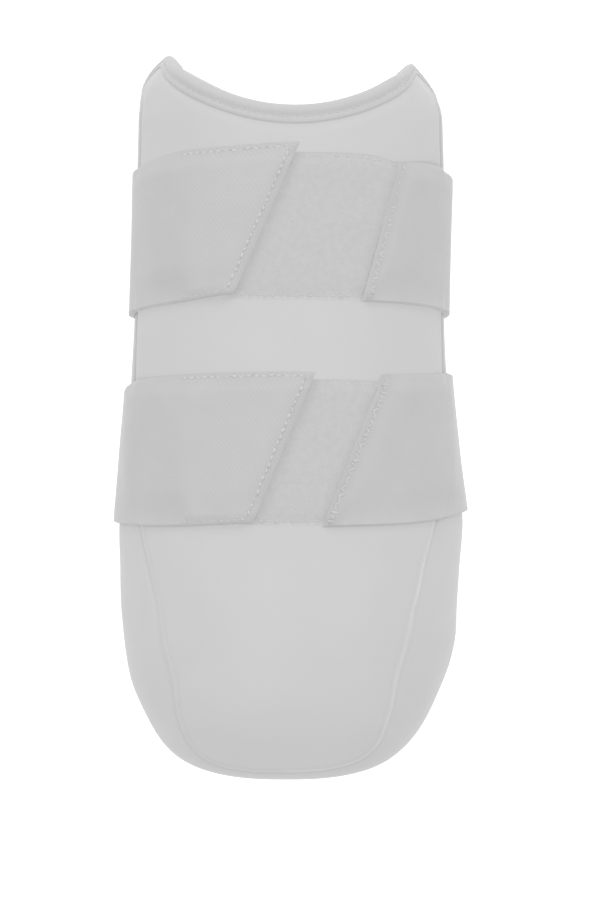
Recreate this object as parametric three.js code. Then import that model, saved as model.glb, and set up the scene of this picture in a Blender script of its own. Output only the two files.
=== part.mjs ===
import * as THREE from "three";
import { LoftGeometry } from "three/addons/geometries/LoftGeometry.js";
import { mergeVertices } from "three/addons/utils/BufferGeometryUtils.js";

// Elbow guard in millimetres, lying on its straps with the cup face up. X runs across the arm,
// Y along the arm toward the scooped end, Z up out of the cup face. The floor is z = 0.

const { clamp, lerp, smoothstep } = THREE.MathUtils;
const QUARTER_TURN = Math.PI / 2;
const NUDGE = 1e-3;
const WELD = 1e-3;
const SETTLE_STEPS = 5;

// Cross sections of the shell along Y: place, half width, crown height, height of the widest
// line, hem height, inset of the crease from the outline, fullness of the cross curve.
const SECTION_TABLE = [
  [-70, 57.4, 86.5, 36, 12.5, 14.5, 2.4],
  [-55, 58.3, 86.3, 35.5, 11.2, 11.5, 2.4],
  [-39, 59.2, 85.8, 35, 10, 8.5, 2.35],
  [-12, 56.9, 84.6, 34.5, 8.8, 4, 2.3],
  [16, 54.3, 83.2, 34, 8.5, 2.4, 2.3],
  [33, 53.4, 82.3, 34, 8.5, 2, 2.3],
  [60, 53, 81.2, 34, 8.5, 2, 2.3],
  [85, 52.9, 80.2, 34, 8.5, 2.1, 2.3],
  [98, 52.5, 79.5, 34, 8.5, 2.1, 2.3],
  [106, 52, 79, 34, 8.5, 1.7, 2.3],
  [113, 50, 78.4, 34, 8.5, 1.3, 2.3],
  [120, 44.5, 77.6, 34, 8.5, 1.2, 2.3],
  [124, 39.5, 77, 34, 8.5, 1.2, 2.3],
  [130, 31, 76, 34, 8.5, 1.2, 2.3],
];
const SIDE_SHARE = 0.7;
const HEM_LEAN = 5;

// The closed end below the lowest section is a fan of half sections about a pole on the crown.
const TOE = {
  poleY: -70,
  reach: 54.9,
  outline: [2.1, 2.65],
  outlineFrom: 0.22,
  outlineTo: 0.69,
  widest: 58,
  hem: 46,
  inset: 3,
  insetFrom: 0.3,
  insetTo: 0.7,
  fullness: 2.5,
  lean: -1.45,
  leanOver: 32,
};

// The open end is scooped out in the middle and rounds down to the hem at each side.
const SCOOP = { y: 100.9, rise: 0.0081, tilt: 0.027, lean: -1.6, leanFrom: 104, widthAt: 115 };
const SHOULDER = { from: 0.66, top: 119.8, end: 64, power: 1.6, blend: 2 };

// The front panel stands proud inside the crease. Padding thins to the hem near the hem and the
// open end, over these shares of a section and of a rib, and a flat flange carries the edge tape.
const SHELL = {
  panel: 1,
  crease: 0.011,
  padding: 9,
  hem: 4.5,
  flange: 5.5,
  thinShare: 0.16,
  thinRib: 0.06,
  lastRib: 0.985,
};
const TAPE = { leg: 4.6, gap: 0.3, thick: 0.9, sewn: 0.2, round: 1.5, bevel: 0.45, turn: 0.55 };
const LAYER_GAP = 0.3;
const SHELL_GAP = 0.35;
const LOOP_THICK = 1.2;
const HOOK_THICK = 1.1;
const BAND_THICK = 1.5;

// Over the sides a band lies closer to the shell, then stands off to clear the tape at the hem.
const SIDE = { drop: 0.65, from: 0.03, to: 0.12, hemLift: 1, hemFrom: 0.78, hemTo: 0.96 };

// Each strap: edge rows are place round the loop, lower edge and upper edge. The place counts 0 at
// the front middle, 1 at the right hem, 2 at the back middle, 3 at the left hem, 4 at the front.
// End lines give X at the lower and at the upper edge.
const UPPER = {
  edges: [
    [0.1, 39.9, 88.4],
    [0.32, 38.9, 87.7],
    [0.47, 37.6, 87.3],
    [0.6, 36, 84.6],
    [0.7, 35, 81.5],
    [1, 33.2, 80.5],
    [2, 32.5, 80.5],
    [3, 33.4, 81.5],
    [3.3, 35.8, 82.6],
    [3.4, 36.4, 85.4],
    [3.53, 37.6, 89],
    [3.68, 39.4, 91.3],
    [3.85, 42, 93],
    [4, 43.4, 94.4],
    [4.1, 44, 95],
  ],
  elasticEnd: [23.8, 37.2],
  tabEnd: [-19.9, 2.8],
  panel: { left: -36, right: [29, 41.6], low: [41.9, 41], high: [90.8, 89.4] },
  hook: { left: -34, setback: 3, low: 43.4, high: 89.6 },
};
const LOWER = {
  edges: [
    [0.08, -37.9, 14.1],
    [0.2, -37.5, 14.4],
    [0.32, -36.8, 14.8],
    [0.45, -35.2, 15],
    [0.53, -34.2, 15.2],
    [0.6, -33.2, 15.3],
    [0.7, -31.6, 15.2],
    [1, -31.6, 14.4],
    [2, -33.2, 12.5],
    [3, -35, 9.2],
    [3.3, -36.6, 9.4],
    [3.38, -37, 11.2],
    [3.43, -37.2, 12.4],
    [3.52, -37.5, 13.5],
    [3.66, -37.8, 14.4],
    [3.83, -37.2, 15.1],
    [4, -36, 15.5],
    [4.1, -35.4, 15],
  ],
  elasticEnd: [10.6, 30.8],
  tabEnd: [-13.8, 7.9],
  panel: { left: -36, right: [16.8, 37], low: [-36.4, -36.4], high: [12.6, 13] },
  hook: { left: -34, setback: 3, low: -34.8, high: 11.2 },
};

const SHELL_FABRIC = new THREE.MeshStandardMaterial({ color: 0xd0d0d0, roughness: 0.75 });
const TAPE_FABRIC = new THREE.MeshStandardMaterial({ color: 0xc9c9c9, roughness: 0.9 });
const BAND_FABRIC = new THREE.MeshStandardMaterial({ color: 0xc3c3c3, roughness: 0.85 });
const LOOP_FABRIC = new THREE.MeshStandardMaterial({ color: 0xc7c7c7, roughness: 1 });
const HOOK_FABRIC = new THREE.MeshStandardMaterial({ color: 0xb5b5b5, roughness: 0.8 });

function table(rows, settings) {
  const places = rows.map((row) => row[0]);
  const values = rows.flatMap((row) => row.slice(1));
  const spline = new THREE.CubicInterpolant(places, values, rows[0].length - 1);
  spline.settings = settings;
  return (place) => [...spline.evaluate(place)];
}

const sectionAt = table(SECTION_TABLE, {
  endingStart: THREE.ZeroSlopeEnding,
  endingEnd: THREE.ZeroCurvatureEnding,
});

function section(y) {
  const [half, crown, widest, hem, inset, fullness] = sectionAt(y);
  return { half, crown, widest, hem, inset, fullness };
}

function toeSection(angle) {
  const root = section(TOE.poleY);
  const turn = 1 - Math.abs(1 - Math.abs(angle) / QUARTER_TURN);
  const drop = Math.sin(angle) ** 2;
  const power = lerp(...TOE.outline, smoothstep(turn, TOE.outlineFrom, TOE.outlineTo));
  const across = Math.abs(Math.cos(angle) / root.half) ** power;
  const down = Math.abs(Math.sin(angle) / TOE.reach) ** power;
  return {
    half: (across + down) ** (-1 / power),
    crown: root.crown,
    widest: lerp(root.widest, TOE.widest, drop),
    hem: lerp(root.hem, TOE.hem, drop),
    inset: lerp(root.inset, TOE.inset, smoothstep(turn, TOE.insetFrom, TOE.insetTo)),
    fullness: lerp(root.fullness, TOE.fullness, drop),
  };
}

// Point of one half section: distance out from the middle, and height.
function sectionPoint(shape, share) {
  if (share <= SIDE_SHARE) {
    const angle = (share / SIDE_SHARE) * QUARTER_TURN;
    const power = 2 / shape.fullness;
    const rise = Math.max(Math.cos(angle), 0) ** power;
    return [shape.half * Math.sin(angle) ** power, lerp(shape.widest, shape.crown, rise)];
  }
  const wall = (share - SIDE_SHARE) / (1 - SIDE_SHARE);
  return [shape.half - HEM_LEAN * wall * wall, lerp(shape.widest, shape.hem, wall)];
}

function shareAt(shape, out) {
  const reach = clamp(Math.abs(out) / shape.half, 0, 1);
  return (SIDE_SHARE * Math.asin(reach ** (shape.fullness / 2))) / QUARTER_TURN;
}

function creaseShare(shape) {
  return shareAt(shape, shape.half - shape.inset);
}

function topEdge(signedShare) {
  const share = Math.abs(signedShare);
  const [out] = sectionPoint(section(SCOOP.widthAt), share);
  const scoop = SCOOP.y + SCOOP.rise * out * out;
  const past = clamp((share - SHOULDER.from) / (1 - SHOULDER.from), 0, 1);
  const fallen = (1 - past ** SHOULDER.power) ** (1 / SHOULDER.power);
  const shoulder = lerp(SHOULDER.end, SHOULDER.top, fallen);
  const apart = Math.max(SHOULDER.blend - Math.abs(scoop - shoulder), 0) / SHOULDER.blend;
  const tilt = SCOOP.tilt * Math.sign(signedShare) * out;
  return Math.min(scoop, shoulder) - (apart * apart * SHOULDER.blend) / 4 - tilt;
}

// Outer face of the shell. The rib runs from -1 at the closed tip through 0 at the pole to 1 at
// the open end. The share runs from the crown at 0 to the hem at 1, negative on the left.
function ribShape(rib, share) {
  if (rib < 0) {
    return toeSection(-rib * QUARTER_TURN);
  }
  return section(lerp(TOE.poleY, topEdge(share), rib));
}

function shellPoint(rib, share) {
  const shape = ribShape(rib, share);
  const [out, height] = sectionPoint(shape, Math.abs(share));
  const side = Math.sign(share);
  if (rib < 0) {
    const angle = -rib * QUARTER_TURN;
    const down = out * Math.sin(angle);
    const lean = TOE.lean * smoothstep(down, 0, TOE.leanOver);
    return new THREE.Vector3(side * out * Math.cos(angle) + lean, TOE.poleY - down, height);
  }
  const y = lerp(TOE.poleY, topEdge(share), rib);
  const lean = SCOOP.lean * smoothstep(y, SCOOP.leanFrom, SHOULDER.top);
  return new THREE.Vector3(side * out + lean, y, height);
}

function shellNormal(rib, share) {
  if (rib <= 0 && share === 0) {
    return new THREE.Vector3(0, 0, 1);
  }
  const ahead = Math.min(share + NUDGE, 1);
  const behind = Math.max(share - NUDGE, -1);
  const across = shellPoint(rib, ahead).sub(shellPoint(rib, behind));
  const onward = shellPoint(Math.min(rib + NUDGE, 1), share);
  const along = onward.sub(shellPoint(rib - NUDGE, share));
  return across.cross(along).normalize();
}

const FAN_RIBS = 14;
const BODY_RIBS = 22;
const PANEL_ROWS = 8;
const SIDE_ROWS = 6;
const ROWS = PANEL_ROWS + 1 + SIDE_ROWS;

function ribList() {
  const ribs = [];
  for (let i = FAN_RIBS; i > 0; i -= 1) {
    ribs.push(-i / FAN_RIBS);
  }
  for (let i = 0; i <= BODY_RIBS; i += 1) {
    ribs.push((SHELL.lastRib * i) / BODY_RIBS);
  }
  ribs.push(1);
  return ribs;
}

function rowShare(rib, row) {
  const index = Math.abs(row);
  let edge = SIDE_SHARE;
  for (let i = 0; i < SETTLE_STEPS; i += 1) {
    edge = creaseShare(ribShape(rib, edge));
  }
  const inner = edge - SHELL.crease;
  const outer = edge + SHELL.crease;
  let share = (inner * index) / PANEL_ROWS;
  if (index > PANEL_ROWS) {
    share = lerp(outer, 1, (index - PANEL_ROWS - 1) / SIDE_ROWS);
  }
  return Math.sign(row) * share;
}

function addQuad(faces, a, b, c, d) {
  faces.push(a, b, c, a, c, d);
}

function solidFrom(points, faces) {
  const geometry = new THREE.BufferGeometry();
  geometry.setFromPoints(points);
  geometry.setIndex(faces);
  const welded = mergeVertices(geometry, WELD);
  const index = welded.getIndex().array;
  const kept = [];
  for (let i = 0; i < index.length; i += 3) {
    const [a, b, c] = [index[i], index[i + 1], index[i + 2]];
    if (a !== b && b !== c && c !== a) {
      kept.push(a, b, c);
    }
  }
  welded.setIndex(kept);
  return welded;
}

// Boundary of the shell, counterclockwise from above, starting at the closed tip.
function boundaryPlaces(ribs) {
  const places = [];
  const last = ribs.length - 1;
  for (let i = 0; i <= last; i += 1) {
    places.push([i, ROWS]);
  }
  for (let row = ROWS - 1; row >= -ROWS; row -= 1) {
    places.push([last, row]);
  }
  for (let i = last - 1; i > 0; i -= 1) {
    places.push([i, -ROWS]);
  }
  return places;
}

function boundaryFrames(ribs) {
  const places = boundaryPlaces(ribs);
  const points = places.map(([i, row]) => shellPoint(ribs[i], rowShare(ribs[i], row)));
  const count = places.length;
  return places.map(([i, row], k) => {
    const normal = shellNormal(ribs[i], rowShare(ribs[i], row));
    const before = points[(k + count - 1) % count];
    const tangent = points[(k + 1) % count].clone().sub(before);
    const out = tangent.cross(normal).normalize();
    return { place: [i, row], point: points[k], normal, out };
  });
}

function inFrame(frame, out, up) {
  return frame.point.clone().addScaledVector(frame.out, out).addScaledVector(frame.normal, up);
}

function shellGeometry(ribs, frames) {
  const span = 2 * ROWS + 1;
  const points = [];
  const faces = [];
  const inner = ribs.length * span;
  const at = (i, row) => i * span + row + ROWS;
  const lining = [];
  ribs.forEach((rib, i) => {
    for (let row = -ROWS; row <= ROWS; row += 1) {
      const share = rowShare(rib, row);
      const normal = shellNormal(rib, share);
      const point = shellPoint(rib, share);
      const hemward = (1 - Math.abs(share)) / SHELL.thinShare;
      const topward = (1 - rib) / SHELL.thinRib;
      const depth = smoothstep(Math.min(hemward, topward), 0, 1);
      const raised = Math.abs(row) <= PANEL_ROWS && rib < 1 ? SHELL.panel : 0;
      lining.push(point.clone().addScaledVector(normal, -lerp(SHELL.hem, SHELL.padding, depth)));
      points.push(point.addScaledVector(normal, raised));
    }
  });
  points.push(...lining);
  for (let i = 0; i + 1 < ribs.length; i += 1) {
    for (let row = -ROWS; row < ROWS; row += 1) {
      const ring = [at(i, row), at(i, row + 1), at(i + 1, row + 1), at(i + 1, row)];
      addQuad(faces, ...ring);
      addQuad(faces, ...ring.map((index) => index + inner).reverse());
    }
  }
  const rim = points.length;
  const count = frames.length;
  frames.forEach((frame) => {
    points.push(inFrame(frame, SHELL.flange, 0));
    points.push(inFrame(frame, SHELL.flange, -SHELL.hem));
  });
  for (let k = 0; k < count; k += 1) {
    const next = (k + 1) % count;
    const root = at(...frames[k].place);
    const rootNext = at(...frames[next].place);
    const edge = rim + 2 * k;
    const edgeNext = rim + 2 * next;
    addQuad(faces, root, edge, edgeNext, rootNext);
    addQuad(faces, edge, edge + 1, edgeNext + 1, edgeNext);
    addQuad(faces, edge + 1, root + inner, rootNext + inner, edgeNext + 1);
  }
  return solidFrom(points, faces);
}

// Tape folded round the rim, sewn flat at the end of each leg.
function tapeSection() {
  const start = SHELL.flange - TAPE.leg;
  const fold = SHELL.flange + TAPE.gap;
  const rim = fold + TAPE.thick;
  const over = TAPE.gap + TAPE.thick;
  const under = -SHELL.hem - TAPE.gap;
  const low = under - TAPE.thick;
  return [
    [start, TAPE.gap],
    [start, over - TAPE.sewn],
    [fold - TAPE.turn, over],
    [fold + TAPE.turn, over - TAPE.bevel],
    [rim, over - TAPE.round],
    [rim, low + TAPE.round],
    [fold + TAPE.turn, low + TAPE.bevel],
    [fold - TAPE.turn, low],
    [start, low + TAPE.sewn],
    [start, under],
    [fold, under],
    [fold, TAPE.gap],
  ];
}

function tapeGeometry(frames) {
  const outline = tapeSection();
  const rings = frames.map((frame) => outline.map(([out, up]) => inFrame(frame, out, up)));
  rings.push(rings[0]);
  return new LoftGeometry(rings);
}

// Straps follow the cross section at a given Y, then fold under the hem to lie on the floor.
const FOLD = { start: 5, line: 1.1, arc: 1.3 };
const BACK_MIDDLE = 2;
const FULL_LOOP = 4;

function sectionFrame(shape, share) {
  const point = new THREE.Vector2(...sectionPoint(shape, share));
  const ahead = new THREE.Vector2(...sectionPoint(shape, Math.min(share + NUDGE, 1)));
  const behind = share > NUDGE ? sectionPoint(shape, share - NUDGE) : [-ahead.x, ahead.y];
  const way = ahead.sub(new THREE.Vector2(...behind)).normalize();
  return { point, way, normal: new THREE.Vector2(-way.y, way.x) };
}

function loopFrame(shape, place, lift) {
  if (place <= 1) {
    const frame = sectionFrame(shape, place);
    return { point: frame.point.addScaledVector(frame.normal, lift), normal: frame.normal };
  }
  const hem = sectionFrame(shape, 1);
  const straight = clamp((place - 1) / (FOLD.line - 1), 0, 1) * FOLD.start;
  const point = hem.point.addScaledVector(hem.normal, lift).addScaledVector(hem.way, straight);
  if (place <= FOLD.line) {
    return { point, normal: hem.normal };
  }
  const floor = BAND_THICK / 2;
  const radius = (point.y - floor) / (1 + hem.normal.y);
  const centre = point.clone().addScaledVector(hem.normal, -radius);
  if (place <= FOLD.arc) {
    const start = Math.atan2(hem.normal.y, hem.normal.x);
    const angle = lerp(start, -QUARTER_TURN, (place - FOLD.line) / (FOLD.arc - FOLD.line));
    const normal = new THREE.Vector2(Math.cos(angle), Math.sin(angle));
    return { point: centre.addScaledVector(normal, radius), normal };
  }
  const run = (place - FOLD.arc) / (BACK_MIDDLE - FOLD.arc);
  return { point: new THREE.Vector2(lerp(centre.x, 0, run), floor), normal: new THREE.Vector2(0, -1) };
}

// A signed place is positive on the right half of the loop and negative on the left half.
function strapPoints(place, y, lift, thick) {
  const side = place < 0 ? -1 : 1;
  const frame = loopFrame(section(y), Math.abs(place), lift + thick / 2);
  const at = (up) => {
    const spot = frame.point.clone().addScaledVector(frame.normal, up);
    return new THREE.Vector3(side * spot.x, y, spot.y);
  };
  return { under: at(-thick / 2), over: at(thick / 2) };
}

function frontPlace(x, y) {
  return Math.sign(x) * shareAt(section(y), x);
}

const BAND_ROWS = 4;
const PANEL_STEPS = 16;
const HOOK_STEPS = 10;
const LOOP_LIFT = SHELL.panel + SHELL_GAP;
const HOOK_LIFT = LOOP_LIFT + LOOP_THICK + LAYER_GAP;
const TAB_LIFT = HOOK_LIFT + HOOK_THICK + LAYER_GAP;

// Lift of a band that lies straight on the shell, closer over the sides and clear of the hem tape.
function plainLift(place, y) {
  const share = Math.min(Math.abs(place), 1);
  const crease = creaseShare(section(y));
  const side = smoothstep(share, crease + SIDE.from, crease + SIDE.to);
  const hem = smoothstep(share, SIDE.hemFrom, SIDE.hemTo);
  return LOOP_LIFT - SIDE.drop * side + SIDE.hemLift * hem;
}

// Steps off a layer: distance past its end, and the part of the extra lift still left there.
const STEP_DOWN = [[0.8, 1], [2.8, 0.74], [4.8, 0.26], [6.8, 0]];
const TAB_STEPS = 9;
const TOWARD_SIDE = [0.17, 0.34, 0.5, 0.67, 0.84];
const SIDE_PLACES = [0.62, 0.66, 0.7, 0.75, 0.8, 0.86, 0.93, 1, FOLD.line, 1.15, 1.2, 1.25, FOLD.arc];

function bandStops(strap) {
  const left = [strap.panel.left, strap.panel.left];
  const moved = (line, by) => line.map((x) => x + by);
  const offPanel = STEP_DOWN.map(([by, over]) => ({ line: moved(strap.panel.right, by), over }));
  const offTab = STEP_DOWN.map(([by, over]) => ({ line: moved(left, -by), over, tab: true }));
  const stops = [{ line: strap.elasticEnd, over: 1 }, ...offPanel];
  stops.push(...TOWARD_SIDE.map((toward) => ({ ...offPanel.at(-1), toward })));
  stops.push(...SIDE_PLACES.map((place) => ({ place })), { place: BACK_MIDDLE });
  stops.push(...[...SIDE_PLACES].reverse().map((place) => ({ place: -place })));
  stops.push(...[...TOWARD_SIDE].reverse().map((toward) => ({ ...offTab.at(-1), toward })));
  stops.push(...offTab.reverse());
  for (let i = 1; i <= TAB_STEPS; i += 1) {
    const line = left.map((x, k) => lerp(x, strap.tabEnd[k], i / TAB_STEPS));
    stops.push({ line, over: 1, tab: true });
  }
  return stops;
}

function band(strap) {
  const edgeAt = table(strap.edges);
  const spot = (stop, width) => {
    const across = (place) => {
      const loop = place < 0 || stop.tab ? FULL_LOOP + place : place;
      return lerp(...edgeAt(loop), width);
    };
    if (stop.place !== undefined) {
      return { place: stop.place, y: across(stop.place) };
    }
    const x = lerp(...stop.line, width);
    let y = across(0);
    for (let i = 0; i < SETTLE_STEPS; i += 1) {
      y = across(frontPlace(x, y));
    }
    const place = frontPlace(x, y);
    const moved = lerp(place, Math.sign(place) * SIDE_PLACES[0], stop.toward ?? 0);
    return { place: moved, y: across(moved) };
  };
  const rings = bandStops(strap).map((stop) => {
    const under = [];
    const over = [];
    for (let row = 0; row < BAND_ROWS; row += 1) {
      const { place, y } = spot(stop, row / (BAND_ROWS - 1));
      const extra = (stop.tab ? TAB_LIFT : HOOK_LIFT) - LOOP_LIFT;
      const lift = plainLift(place, y) + extra * (stop.over ?? 0);
      const pair = strapPoints(place, y, lift, BAND_THICK);
      under.push(pair.under);
      over.unshift(pair.over);
    }
    return [...under, ...over];
  });
  return new LoftGeometry(rings, { capStart: true, capEnd: true });
}

// Flat layer sewn or pressed to the front between two end lines, each X at the lower and upper edge.
function layer({ left, right, low, high, lift, thick, steps }) {
  const rings = [];
  for (let i = 0; i <= steps; i += 1) {
    const along = i / steps;
    const under = [];
    const over = [];
    for (let row = 0; row < BAND_ROWS; row += 1) {
      const width = row / (BAND_ROWS - 1);
      const x = lerp(left, lerp(right[0], right[1], width), along);
      const y = lerp(lerp(low[0], low[1], along), lerp(high[0], high[1], along), width);
      const pair = strapPoints(frontPlace(x, y), y, lift, thick);
      under.push(pair.under);
      over.unshift(pair.over);
    }
    rings.push([...under, ...over]);
  }
  return new LoftGeometry(rings, { capStart: true, capEnd: true });
}

function loopPanel(strap) {
  return layer({ ...strap.panel, lift: LOOP_LIFT, thick: LOOP_THICK, steps: PANEL_STEPS });
}

function hookPatch(strap) {
  const { left, setback, low, high } = strap.hook;
  const right = strap.tabEnd.map((x) => x - setback);
  return layer({
    left,
    right,
    low: [low, low],
    high: [high, high],
    lift: HOOK_LIFT,
    thick: HOOK_THICK,
    steps: HOOK_STEPS,
  });
}

const guard = new THREE.Group();
guard.name = "elbow_guard";

function add(name, geometry, material) {
  const mesh = new THREE.Mesh(geometry, material);
  mesh.name = name;
  guard.add(mesh);
}

const ribs = ribList();
const frames = boundaryFrames(ribs);
add("shell", shellGeometry(ribs, frames), SHELL_FABRIC);
add("edge_binding", tapeGeometry(frames), TAPE_FABRIC);
add("upper_band", band(UPPER), BAND_FABRIC);
add("upper_loop_panel", loopPanel(UPPER), LOOP_FABRIC);
add("upper_hook_patch", hookPatch(UPPER), HOOK_FABRIC);
add("lower_band", band(LOWER), BAND_FABRIC);
add("lower_loop_panel", loopPanel(LOWER), LOOP_FABRIC);
add("lower_hook_patch", hookPatch(LOWER), HOOK_FABRIC);

export default guard;
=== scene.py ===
import contextlib
import math

import bmesh
import bpy
import numpy as np
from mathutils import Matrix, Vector


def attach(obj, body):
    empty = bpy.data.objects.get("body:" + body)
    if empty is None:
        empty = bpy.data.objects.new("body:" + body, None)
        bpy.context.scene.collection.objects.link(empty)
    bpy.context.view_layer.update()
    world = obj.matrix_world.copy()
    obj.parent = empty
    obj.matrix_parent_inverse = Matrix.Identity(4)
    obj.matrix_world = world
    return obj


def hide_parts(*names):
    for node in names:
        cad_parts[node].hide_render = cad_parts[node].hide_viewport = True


# Elbow guard lying on its straps, cup face up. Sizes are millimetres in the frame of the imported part:
# X across the arm, Y along it toward the scooped end, Z up out of the cup face.

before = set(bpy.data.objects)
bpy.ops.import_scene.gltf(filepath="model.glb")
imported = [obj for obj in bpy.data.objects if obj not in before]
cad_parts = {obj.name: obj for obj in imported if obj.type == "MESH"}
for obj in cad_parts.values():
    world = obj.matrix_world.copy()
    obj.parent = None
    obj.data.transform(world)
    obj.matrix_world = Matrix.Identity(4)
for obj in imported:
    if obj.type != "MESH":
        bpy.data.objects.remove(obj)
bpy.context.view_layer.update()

MM = 0.001
QUARTER_TURN = math.pi / 2
NUDGE = 1e-3
TINY = 1e-9
SETTLE_STEPS = 5

# Cross sections of the shell along Y: place, half width, crown height, height of the widest line,
# hem height, inset of the crease from the outline, fullness of the cross curve.
SECTION_TABLE = [
    (-70, 57.4, 86.5, 36, 12.5, 13.8, 2.4),
    (-55, 58.3, 86.3, 35.5, 11.2, 11.8, 2.4),
    (-39, 59.2, 85.8, 35, 10, 9.2, 2.35),
    (-12, 56.9, 84.6, 34.5, 8.8, 4.4, 2.3),
    (16, 54.3, 83.2, 34, 8.5, 2.4, 2.3),
    (33, 53.4, 82.3, 34, 8.5, 2, 2.3),
    (60, 53, 81.2, 34, 8.5, 2, 2.3),
    (85, 52.9, 80.2, 34, 8.5, 2.1, 2.3),
    (98, 52.5, 79.5, 34, 8.5, 2.1, 2.3),
    (106, 52, 79, 34, 8.5, 1.7, 2.3),
    (113, 50, 78.4, 34, 8.5, 1.3, 2.3),
    (120, 44.5, 77.6, 34, 8.5, 1.2, 2.3),
    (124, 39.5, 77, 34, 8.5, 1.2, 2.3),
    (130, 31, 76, 34, 8.5, 1.2, 2.3),
]

# Columns of a section that are read alone, counted after its place.
HALF, INSET, FULLNESS = 0, 4, 5

# A half section curves down to its widest line at SIDE_SHARE, and the wall below leans in to the hem.
SIDE_SHARE = 0.7
HEM_LEAN = 5

# The flanks are not quite alike. Rows: place along Y, outward swell of the left and of the right flank.
# The swell sets in over FLANK_SHARES of a half section, and fades over FLANK_FADE of the closed end.
FLANK_TABLE = [
    (-116, 0.2, -0.1),
    (-103, -0.35, 0.4),
    (-92, 0, 0.3),
    (-82, -0.2, 0.1),
    (-74, 0.2, 0.1),
    (-66, 0.8, 0.1),
    (-58, 0.5, 0),
    (-49, 0, 0),
    (-41, -0.2, 0.25),
    (-35, -0.2, 0.55),
    (-27, -0.25, 0.2),
    (-12, 0, -0.2),
    (6, 0.1, -0.3),
    (18, 0.4, -0.3),
    (40, 0.25, -0.1),
    (88, -0.15, 0.25),
    (106, 0, 0.2),
    (109, 0, 0),
    (113, -0.15, -0.55),
    (121, -0.4, -0.7),
]
FLANK_SHARES = (0.35, 0.6)
FLANK_FADE = (0.55, 1)

# Closed end: a fan of half sections about a pole on the crown. Inset rows: share of the quarter turn,
# inset of the crease.
TOE_POLE_Y = -70
TOE_REACH = 54.9
TOE_OUTLINE = (2.1, 2.65)
TOE_OUTLINE_TURN = (0.22, 0.69)
TOE_WIDEST = 58
TOE_HEM = 46
TOE_INSETS = [
    (0, 13.8),
    (0.1, 14.5),
    (0.2, 15),
    (0.3, 14.7),
    (0.4, 13),
    (0.51, 9.3),
    (0.6, 6.3),
    (0.69, 4.3),
    (0.82, 3.4),
    (1, 3.1),
]
TOE_FULLNESS = 2.5
TOE_LEAN = -1.45
TOE_LEAN_OVER = 32

# Open end: scooped in the middle, rounding down to the hem at each side.
SCOOP_Y = 100.9
SCOOP_RISE = 0.0081
SCOOP_TILT = 0.027
SCOOP_LEAN = -1.6
SCOOP_LEAN_FROM = 104
SCOOP_WIDTH_AT = 115
SHOULDER_FROM = 0.66
SHOULDER_TOP = 119.8
SHOULDER_END = 64
SHOULDER_POWER = 1.6
SHOULDER_BLEND = 2

# Shell padding, the raised front panel with its lip and groove, and the flange under the edge tape.
# Lip and groove: place past the crease, width.
PANEL_RISE = 1.0
PANEL_SLOPE = (-1.0, 0.7)
LIP_RISE = 0.2
LIP = (-1.5, 0.8)
GROOVE_DEPTH = 0.12
GROOVE = (1.0, 0.5)
PADDING = 9
HEM_THICK = 4.5
FLANGE = 5.5
THIN_SHARE = 0.16
THIN_RIB = 0.06
TOP_STEP = 2.6
SHOULDER_FLAT_FROM = (101, 113)
SHOULDER_FLAT_SHARES = (0.3, 0.5)

# Layers on the front, from the shell up: loop panel, hook tape, tab.
SHELL_GAP = 0.35
LAYER_GAP = 0.08
LOOP_THICK = 1.2
HOOK_THICK = 0.7
BAND_THICK = 1.5
LOOP_LIFT = PANEL_RISE + SHELL_GAP
HOOK_LIFT = LOOP_LIFT + LOOP_THICK + LAYER_GAP
TAB_LIFT = HOOK_LIFT + HOOK_THICK + LAYER_GAP

# Over the sides a band lies closer to the shell, then stands off to clear the tape at the hem. Past the
# hem it runs straight to FOLD_LINE and turns under, until FOLD_ARC, onto its flat back.
SIDE_DROP = 0.65
SIDE_DROP_FROM = 0.03
SIDE_DROP_TO = 0.12
HEM_LIFT = 1
HEM_LIFT_SHARES = (0.78, 0.96)
STEP_DOWN_TAB = (0.8, 15)
STEP_DOWN_ELASTIC = (0.8, 11)
FOLD_START = 5
FOLD_LINE = 1.1
FOLD_ARC = 1.3
BACK_MIDDLE = 2
SIDE_STOP = 0.62
LOOP_TURN = 4

# Straps. Edge rows: place round the loop (0 front middle, 1 right hem, 2 back middle, 3 left hem,
# 4 front middle), lower edge, upper edge. End lines give X at the lower and at the upper edge. A sheet
# on the front has its left edge, its right end, and its lower and upper edges at the left and the right.
# Its droop is the share of its length from which the upper edge sinks, and how far.
UPPER = {
    "name": "upper",
    "edges": [
        (0.1, 39.9, 88.4),
        (0.32, 38.9, 87.7),
        (0.47, 37.6, 87.3),
        (0.6, 36, 84.4),
        (0.7, 34.8, 81.2),
        (1, 33.2, 80),
        (2, 32.5, 80.5),
        (3, 33.4, 82),
        (3.3, 34.6, 84),
        (3.4, 36, 86.2),
        (3.53, 37.6, 89),
        (3.68, 39.4, 91.3),
        (3.85, 42, 93),
        (4, 43.4, 94.4),
        (4.1, 44, 95),
    ],
    "elastic_end": (23.8, 36.3),
    "tab_end": (-18.7, 3.4),
    "panel": {
        "left": -36,
        "right": (28.4, 38.6),
        "low": (40.9, 40),
        "high": (91.6, 90.4),
        "droop": (0.75, 4),
    },
    "hook": {"left": -34, "low": (46.5, 46.5), "high": (86.5, 86.5), "droop": (0, 0)},
    "slip": {"left": (0.1, 0.5), "right": (-0.15, 0.95), "between": (38, 82)},
}
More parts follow.
